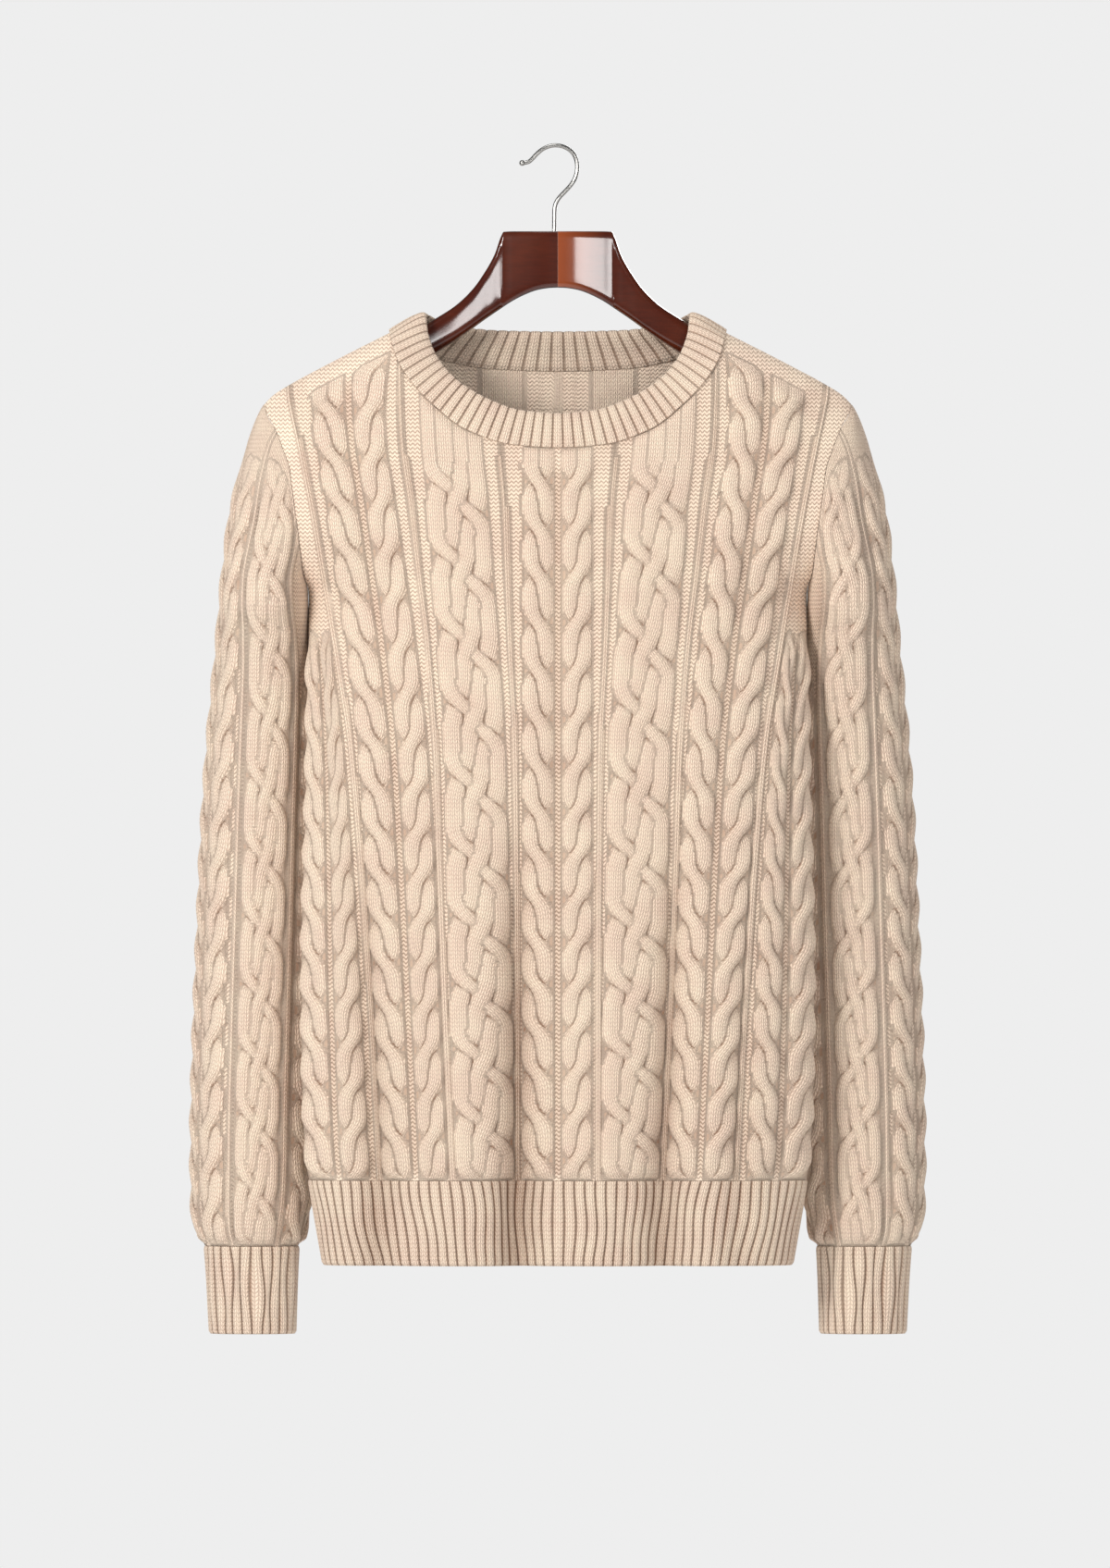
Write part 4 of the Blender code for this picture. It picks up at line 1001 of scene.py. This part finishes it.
# along from the seam to the fold, out from that line, and the share of the ribs' swell
bandSection = [
    (0.06, -1.6, 0.2), (0.05, -0.2, 0.2), (0.03, 0.7, 0.2), (-0.03, 1.0, 0.3), (-0.03, 1.8, 0.6),
    (0.12, 2.2, 0.9), (0.28, 2.4, 1.0), (0.45, 2.7, 1.0), (0.62, 2.7, 1.0), (0.78, 2.4, 1.0),
    (0.89, 1.9, 1.0), (0.95, 1.2, 1.0), (0.985, 0.3, 1.0), (0.99, -0.8, 1.0), (0.96, -1.9, 1.0),
    (0.88, -2.6, 1.0), (0.74, -3.0, 1.0), (0.56, -3.1, 1.0), (0.38, -3.1, 1.0), (0.22, -3.3, 1.0),
    (0.08, -4.2, 0.8), (-0.10, -4.9, 0.6), (-0.13, -4.2, 0.3), (-0.10, -3.6, 0.2), (0.05, -3.0, 0.2),
]


def neckLines(face):
    turn = -towards[face]
    steps = 200
    xs = np.linspace(-body["neckSideX"], body["neckSideX"], steps + 1)
    zs = necklineForm[face]["z"](np.abs(xs))
    seam = panelPoint(face, xs, zs)
    seam[0, 1] = seam[-1, 1] = body["tipY"]
    seam = seam[::turn]
    share = -np.cos(np.pi * np.arange(steps + 1) / steps) * turn
    x = share * band["bandSideX"]
    out = band["depth"][face] * superEllipse(share, 2.6) ** 0.9
    y = body["tipY"] + towards[face] * out
    return seam, np.stack([x, y, foldForm[face](np.abs(x))], axis=-1)


def makeNeckband(name):
    seam, fold = [], []
    perRib = band["columnsInRib"] + 2
    for face, ribs in (("front", band["neckRibsFront"]), ("back", band["neckRibsBack"])):
        seamLine, foldLine = neckLines(face)
        seam.append(spacedAlong(seamLine, ribs * perRib, False))
        fold.append(spacedAlong(foldLine, ribs * perRib, False))
    seam, fold = np.concatenate(seam), np.concatenate(fold)
    columns = len(seam)
    up = fold - seam
    middle = (seam + fold) / 2
    reach = 2 * perRib
    sideways = np.roll(middle, -reach, axis=0) - np.roll(middle, reach, axis=0)
    normal = unit(np.cross(sideways, up))
    turns = np.arange(columns + 1) / perRib
    # the band lies flatter over the shoulders
    slim = 1 - band["shoulderSlim"] * ease(np.abs(middle[:, 0]), *band["shoulderFrom"])
    swell = band["swell"] * band["neckSwell"] * ribShape(turns) * np.concatenate([slim, slim[:1]])
    rim = np.concatenate([normal, normal[:1]])
    rows = []
    for along, out, share in bandSection + bandSection[:1]:
        side = -1 if out < -1.0 else 1
        offset = out * (slim if side < 0 else np.ones(columns))
        line = seam + up * along + normal * offset[:, None]
        rows.append(np.concatenate([line, line[:1]]) + rim * (side * swell * share)[:, None])
    points = np.stack(rows)
    _, lengths = runAlong(points[:, 5])
    v = np.broadcast_to(lengths[:, None], points.shape[:2])
    knit = ribKnit(np.broadcast_to(turns, points.shape[:2]), v, band["neckPitch"])
    knit["paintedShade"] = knit["paintedShade"] * band["neckShade"]
    return smoothed(addGrid(name, points, knit), 80, mended=True)


neckband = makeNeckband("neckRib")
print("neckband made", len(neckband.data.polygons))

# the wooden hanger
hanger = {
    "around": 72,
    "along": 120,
    # how far along, top, bottom, half its depth, the middle's depth, how square
    "stations": [
        (0.02, -60.0, -100.0, 11.90, 12.10, 14.0),
        (5.0, -60.0, -100.2, 11.88, 12.12, 14.0),
        (10.0, -60.0, -100.8, 11.78, 12.22, 14.0),
        (16.0, -60.0, -102.1, 11.50, 12.50, 14.0),
        (24.0, -60.0, -105.2, 10.98, 13.02, 14.0),
        (32.0, -60.0, -109.3, 10.40, 13.60, 14.0),
        (38.6, -60.3, -113.5, 9.90, 14.10, 14.0),
        (40.6, -63.5, -115.0, 9.55, 13.65, 6.0),
        (45.0, -76.0, -118.0, 8.95, 12.45, 5.5),
        (51.5, -88.0, -122.5, 8.75, 11.25, 4.8),
        (61.0, -101.5, -129.5, 8.75, 9.85, 4.2),
        (73.0, -113.0, -138.0, 8.95, 8.45, 3.6),
        (86.0, -121.5, -146.5, 9.15, 7.25, 3.0),
        (100.0, -129.6, -155.0, 9.55, 6.05, 2.6),
        (121.0, -139.6, -168.0, 11.0, 3.0, 2.1),
        (148.0, -154.5, -184.5, 12.0, 2.6, 2.0),
        (172.0, -166.4, -198.0, 13.4, 2.6, 2.0),
        (186.0, -176.4, -204.0, 12.6, 3.0, 2.0),
        (193.0, -182.0, -203.0, 8.6, 3.0, 2.0),
        (196.0, -186.0, -198.0, 4.0, 3.0, 2.0),
    ],
}


def makeHangerArm(name, side):
    form = curves("top bottom half y power", hanger["stations"])
    marks = np.array([s[0] for s in hanger["stations"]])
    place = np.linspace(0, len(marks) - 1, hanger["along"] + 1)
    x = np.interp(place, np.arange(len(marks)), marks)
    turn = 2 * np.pi * (np.arange(hanger["around"] + 1) + 0.5) / hanger["around"]
    power = form["power"](x)[:, None]
    reach = (np.abs(np.cos(turn)) ** power + np.abs(np.sin(turn)) ** power) ** (-1 / power)
    middle = (form["top"](x) + form["bottom"](x))[:, None] / 2
    tall = (form["top"](x) - form["bottom"](x))[:, None] / 2
    y = form["y"](x)[:, None] + form["half"](x)[:, None] * np.cos(turn) * reach
    z = middle + tall * np.sin(turn) * reach
    points = np.stack([np.broadcast_to(x[:, None] * side, z.shape), y, z], axis=-1)
    points[:, -1] = points[:, 0]
    flat = {"u": y * 0 + turn * 10, "v": points[..., 0], "purl": y * 0, "paintedShade": y * 0}
    return smoothed(addGrid(name, points, flat), 35, mended=True, capped=True)


armLeft = makeHangerArm("hangerArmLeft", -1)
armRight = makeHangerArm("hangerArmRight", 1)

hook = {
    "radius": 1.5,
    "tipRadius": 2.1,
    "points": [
        (-2.6, -59.6), (-2.5, -50.0), (-2.3, -41.5), (0.4, -36.2), (5.6, -31.0), (9.8, -26.4),
        (12.6, -21.6), (14.0, -16.0), (13.7, -9.8), (11.6, -4.6), (7.6, -0.8), (2.0, 1.5),
        (-4.4, 1.6), (-10.4, -0.6), (-15.2, -4.6), (-18.8, -8.8), (-21.8, -10.9), (-25.4, -11.0),
    ],
}


def makeHook(name):
    wire = bpy.data.curves.new(name, "CURVE")
    wire.dimensions = "3D"
    wire.bevel_depth = hook["radius"] / 1000
    wire.bevel_resolution = 6
    wire.use_fill_caps = True
    path = wire.splines.new("NURBS")
    path.points.add(len(hook["points"]) - 1)
    for point, (x, z) in zip(path.points, hook["points"]):
        point.co = (x / 1000, 0.0, z / 1000, 1.0)
    path.order_u = 3
    path.use_endpoint_u = True
    path.resolution_u = 8
    piece = bpy.data.objects.new(name, wire)
    bpy.context.scene.collection.objects.link(piece)
    bpy.ops.object.select_all(action="DESELECT")
    piece.select_set(True)
    bpy.context.view_layer.objects.active = piece
    bpy.ops.object.convert(target="MESH")
    x, z = hook["points"][-1]
    tip = (x / 1000, 0, z / 1000)
    bpy.ops.mesh.primitive_uv_sphere_add(
        radius=hook["tipRadius"] / 1000, segments=24, ring_count=14, location=tip
    )
    bpy.ops.object.transform_apply(location=True, rotation=True, scale=True)
    piece.select_set(True)
    bpy.context.view_layer.objects.active = piece
    bpy.ops.object.join()
    return smoothed(piece, 40)


hookWire = makeHook("hookWire")
print("hanger made")

# finishes
def linear(hexColour):
    parts = [int(hexColour[k : k + 2], 16) / 255 for k in (0, 2, 4)]
    return [p / 12.92 if p <= 0.04045 else ((p + 0.055) / 1.055) ** 2.4 for p in parts] + [1.0]


class Tree:
    # the nodes of a material or of the world
    def __init__(self, owner):
        owner.use_nodes = True
        self.owner = owner
        self.nodes, self.links = owner.node_tree.nodes, owner.node_tree.links

    def add(self, kind, inputs=(), output=0, **settings):
        # one node with its settings and links, whose inputs go by name or in their own order
        node = self.nodes.new("ShaderNode" + kind)
        for key, value in settings.items():
            setattr(node, key, value)
        self.put(node, inputs)
        return node.outputs[output]

    def put(self, node, inputs):
        for key, value in inputs.items() if isinstance(inputs, dict) else enumerate(inputs):
            if isinstance(value, bpy.types.NodeSocket):
                self.links.new(value, node.inputs[key])
            else:
                node.inputs[key].default_value = value

    def finish(self, inputs):
        self.put(self.nodes["Principled BSDF"], inputs)
        return self.owner


# wool yarn, spun soft and knitted: matt, with a faint sheen, and with shade painted between its stitches,
# in its hollows and along its creases;
# real stitches are finer, and these are drawn as coarse as they need to be to show
wool = {
    "light": "F4E3CB",
    "warm": "E9CDBB",
    # the colour of the painted shade
    "deep": "8E6C55",
    "sheen": "FFF0DE",
    "wale": 0.0032,
    "course": 0.0030,
    "bumpDepth": 0.0012,
    "splitWide": 0.16,
    "fuzz": 2600.0,
    "heather": 420.0,
    "patches": 38.0,
}


def makeWool(name):
    t = Tree(bpy.data.materials.new(name))
    stitches = t.add("UVMap", output="UV", uv_map="stitches")
    where = t.add("TexCoord", output="Object")
    parts = {axis: t.add("SeparateXYZ", [stitches], axis) for axis in "XY"}
    for layer in knitLayers:
        parts[layer] = t.add("Attribute", output="Fac", attribute_name=layer)
    for noise, detail in (("fuzz", 3.0), ("patches", 3.0), ("heather", 2.0)):
        pattern = {"Vector": where, "Scale": wool[noise], "Detail": detail}
        parts[noise] = t.add("TexNoise", pattern, "Fac")
    warmer = {"Value": parts["patches"], "From Min": 0.35, "From Max": 0.65}
    parts["blush"] = t.add("MapRange", warmer, "Result")
    for part, operation, *inputs in [
        ("wale", "DIVIDE", "X", wool["wale"]),
        ("course", "DIVIDE", "Y", wool["course"]),
        # two legs to each knit stitch, leaning apart
        ("off", "FRACT", "wale"),
        ("off", "SUBTRACT", "off", 0.5),
        ("off", "ABSOLUTE", "off"),
        ("legs", "MULTIPLY", "off", 2 * math.pi),
        ("legs", "SINE", "legs"),
        ("legs", "ABSOLUTE", "legs"),
        ("legs", "POWER", "legs", 0.7),
        ("rows", "MULTIPLY_ADD", "off", -1.3, "course"),
        ("rows", "MULTIPLY", "rows", math.pi),
        ("rows", "SINE", "rows"),
        ("rows", "ABSOLUTE", "rows"),
        ("rows", "POWER", "rows", 0.5),
        ("knit", "MULTIPLY", "legs", "rows"),
        # a purl row is a row of small bumps
        ("bumps", "MULTIPLY", "wale", 2 * math.pi),
        ("bumps", "SINE", "bumps"),
        ("bumps", "MULTIPLY_ADD", "bumps", 0.24, "course"),
        ("bumps", "MULTIPLY", "bumps", math.pi),
        ("bumps", "SINE", "bumps"),
        ("bumps", "ABSOLUTE", "bumps"),
        ("bumps", "POWER", "bumps", 0.8),
        ("surface", "SUBTRACT", "bumps", "knit"),
        ("surface", "MULTIPLY_ADD", "surface", "purl", "knit"),
        # a thin line where one strand dives under the next, sunk in the bump and painted as shade
        ("line", "DIVIDE", "split", wool["splitWide"]),
        ("line", "MULTIPLY", "line", "line"),
        ("line", "MULTIPLY", "line", -1.0),
        ("line", "EXPONENT", "line"),
        ("line", "MULTIPLY", "line", "grooveShade"),
        ("raised", "SUBTRACT", "surface", "line"),
        ("raised", "MULTIPLY_ADD", "fuzz", 0.35, "raised"),
        # warmer in patches, with flecks of both yarns
        ("blush", "MULTIPLY", "blush", 0.4),
        ("blush", "MULTIPLY_ADD", "heather", 0.5, "blush"),
        # painted shade: darker between the stitches, in the hollows and along the lines
        ("deeper", "MULTIPLY_ADD", "purl", 0.15, 0.45),
        ("gaps", "SUBTRACT", 1.0, "surface"),
        ("gaps", "MULTIPLY", "gaps", "deeper"),
        ("shade", "MULTIPLY", "paintedShade", 0.55),
        ("shade", "MULTIPLY_ADD", "line", 0.75, "shade"),
        ("shade", "ADD", "shade", "gaps"),
        ("uneven", "MULTIPLY_ADD", "patches", 0.5, 0.75),
        ("shade", "MULTIPLY", "shade", "uneven"),
        ("shade", "MINIMUM", "shade", 1.0),
    ]:
        parts[part] = t.add("Math", [parts.get(i, i) for i in inputs], operation=operation)
    tones = {"Factor": parts["blush"], "A": linear(wool["light"]), "B": linear(wool["warm"])}
    tone = t.add("Mix", tones, "Result", data_type="RGBA")
    shaded = {"Factor": parts["shade"], "A": tone, "B": linear(wool["deep"])}
    relief = {"Height": parts["raised"], "Strength": 0.75, "Distance": wool["bumpDepth"]}
    return t.finish(
        {
            "Base Color": t.add("Mix", shaded, "Result", data_type="RGBA"),
            "Normal": t.add("Bump", relief, "Normal"),
            "Roughness": 0.86,
            "IOR": 1.5,
            "Specular IOR Level": 0.25,
            "Sheen Weight": 0.35,
            "Sheen Roughness": 0.5,
            "Sheen Tint": linear(wool["sheen"]),
        }
    )


# mahogany, sanded and sprayed with clear lacquer: red-brown, with bright reflections along its faces, and
# light painted on the right half beside the joint
wood = {
    "dark": "230703",
    "red": "47150A",
    # a paler red, for the wood's paler clouds and for the light painted beside the joint
    "paleWoodAndLight": "A04E26",
    "grain": 9.0,
    "stretch": (6.0, 40.0, 60.0),
    "clouds": 22.0,
    "paintedLightTo": 0.034,
}


def makeWood(name):
    t = Tree(bpy.data.materials.new(name))
    where = t.add("TexCoord", output="Object")
    along = t.add("Mapping", {"Vector": where, "Scale": wood["stretch"]}, "Vector")
    grain = {"Vector": along, "Scale": wood["grain"], "Detail": 6.0, "Distortion": 0.6}
    grain = t.add("TexNoise", grain, "Fac")
    cloud = t.add("TexNoise", {"Vector": where, "Scale": wood["clouds"], "Detail": 2.0}, "Fac")
    boards = {"Factor": grain, "A": linear(wood["dark"]), "B": linear(wood["red"])}
    board = t.add("Mix", boards, "Result", data_type="RGBA")
    share = t.add("Math", [t.add("Math", [cloud, 2.0], operation="POWER"), 0.25], operation="MULTIPLY")
    # painted light: the right half is painted paler beside the joint, fading away from it, where light
    # falls on it
    across = t.add("SeparateXYZ", [where], "X")
    near = {"Value": across, "From Max": wood["paintedLightTo"], "To Min": 0.6, "To Max": 0.0}
    right = t.add("Math", [across, 0.0], operation="GREATER_THAN")
    near = t.add("Math", [t.add("MapRange", near, "Result"), right], operation="MULTIPLY")
    share = t.add("Math", [t.add("Math", [share, near], operation="ADD"), 1.0], operation="MINIMUM")
    paleAndLit = {"Factor": share, "A": board, "B": linear(wood["paleWoodAndLight"])}
    return t.finish(
        {
            "Base Color": t.add("Mix", paleAndLit, "Result", data_type="RGBA"),
            "Normal": t.add("Bump", {"Height": grain, "Strength": 0.06, "Distance": 0.0004}, "Normal"),
            "Roughness": 0.3,
            "IOR": 1.5,
            "Specular IOR Level": 0.12,
            "Coat Weight": 1.0,
            "Coat Roughness": 0.13,
            "Coat IOR": 1.52,
        }
    )


# steel wire, drawn, bent and polished: bright, with a slightly blurred reflection
steelWire = {"dull": "A9A8A5", "bright": "BDBCB9", "rough": (0.26, 0.34), "marks": 60.0}


def makeSteel(name):
    t = Tree(bpy.data.materials.new(name))
    where = t.add("TexCoord", output="Object")
    drawn = t.add("TexNoise", {"Vector": where, "Scale": steelWire["marks"], "Detail": 1.0}, "Fac")
    low, high = steelWire["rough"]
    tones = {"Factor": drawn, "A": linear(steelWire["dull"]), "B": linear(steelWire["bright"])}
    return t.finish(
        {
            "Base Color": t.add("Mix", tones, "Result", data_type="RGBA"),
            "Roughness": t.add("MapRange", {"Value": drawn, "To Min": low, "To Max": high}, "Result"),
            "Metallic": 1.0,
        }
    )


def dress(piece, node, material):
    piece.data.materials.clear()
    piece.data.materials.append(material)
    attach(piece, "root")
    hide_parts(node)


# each cloth piece's node, flat size in metres and area, where it isn't the whole rectangle
clothPieces = {
    frontPanel: ("front_panel", (0.45, 0.66), 0.262),
    backPanel: ("back_panel", (0.45, 0.66), 0.27),
    sleeveLeft: ("sleeve_left", (0.25, 0.61), 0.135),
    sleeveRight: ("sleeve_right", (0.25, 0.61), 0.135),
    hemBand: ("hem_band", (0.86, 0.061), None),
    cuffLeft: ("cuff_left", (0.185, 0.063), None),
    cuffRight: ("cuff_right", (0.185, 0.063), None),
    neckband: ("neckband", (0.53, 0.05), None),
}
woolKnit, mahogany = makeWool("creamWoolKnit"), makeWood("mahoganyLacquer")
steel = makeSteel("polishedSteel")
for piece, (node, flat, area) in clothPieces.items():
    dress(piece, node, woolKnit)
dress(armLeft, "hanger_arm_left", mahogany)
dress(armRight, "hanger_arm_right", mahogany)
dress(hookWire, "hanger_hook", steel)
print("finishes on")

# studio
studio = {
    "background": "EEEEEE",
    "around": 0.46,  # the room's own light, on all but shiny things
    "mirrored": 0.07,
    "aim": (0, 0, -0.45),
    "distance": 16.0,
    "middle": (-0.002, -0.4549),
    "nearest": 0.03,
    "frameTall": 1.1187,
    "sensor": 36.0,
    "floorZ": -1.75,
    "floorRadius": 3.6,
    "paper": "E8E8E8",
    "paperGlow": 0.12,
}
whiteLight, warmLight = (1.0, 0.99, 0.98), (1.0, 0.98, 0.97)
# each lamp's place, width, height where it isn't round, power and colour
lamps = {
    "keyLight": ((-1.85, -2.45, 0.4), 1.0, None, 71.0, whiteLight),
    "fillLight": ((1.7, -2.6, 0.1), 1.4, None, 7.0, whiteLight),
    "panelLight": ((0.80, -2.9, 0.0), 0.48, 0.95, 21.0, warmLight),
    "backLight": ((0.9, 3.0, 0.5), 1.6, None, 45.0, whiteLight),
    "topLight": ((-0.3, -0.6, 1.7), 1.0, None, 12.0, whiteLight),
}
for name, (place, wide, tall, power, colour) in lamps.items():
    bpy.ops.object.light_add(type="AREA", location=place)
    lamp = bpy.context.active_object
    lamp.name = name
    lamp.data.shape = "RECTANGLE" if tall else "DISK"
    lamp.data.size = wide
    if tall:
        lamp.data.size_y = tall
    lamp.data.energy = power
    lamp.data.color = colour
    aim = Vector(studio["aim"]) - Vector(place)
    lamp.rotation_euler = aim.to_track_quat("-Z", "Y").to_euler()

# the room is pale to the camera, soft on the cloth and dim in what is shiny
bpy.context.scene.world = bpy.data.worlds.new("paleStudio")
room = Tree(bpy.context.scene.world)
room.put(room.nodes["Background"], [linear(studio["background"]), 1.0])
soft, dim = (room.add("Background", [(*whiteLight, 1.0), studio[key]]) for key in ("around", "mirrored"))
shiny = room.add("MixShader", [room.add("LightPath", output="Is Glossy Ray"), soft, dim])
pale = room.nodes["Background"].outputs[0]
seen = room.add("MixShader", [room.add("LightPath", output="Is Camera Ray"), shiny, pale])
room.put(room.nodes["World Output"], {"Surface": seen})

bpy.ops.mesh.primitive_circle_add(
    vertices=96, radius=studio["floorRadius"], fill_type="NGON", location=(0, 0, studio["floorZ"])
)
floor = bpy.context.active_object
floor.name = "floor"
paper = {
    "Base Color": linear(studio["paper"]),
    "Roughness": 0.9,
    "Emission Color": linear("FFFFFF"),
    "Emission Strength": studio["paperGlow"],
}
floor.data.materials.append(Tree(bpy.data.materials.new("palePaper")).finish(paper))

middleX, middleZ = studio["middle"]
bpy.ops.object.camera_add(location=(middleX, -studio["distance"], middleZ))
camera = bpy.context.active_object
camera.rotation_euler = (math.pi / 2, 0, 0)
camera.data.type = "PERSP"
camera.data.sensor_fit = "VERTICAL"
camera.data.sensor_height = studio["sensor"]
camera.data.lens = studio["sensor"] * (studio["distance"] - studio["nearest"]) / studio["frameTall"]
camera.data.clip_end = 30.0
bpy.context.scene.camera = camera
bpy.context.scene.view_settings.view_transform = "Standard"
bpy.context.scene.view_settings.look = "None"
print("studio ready")
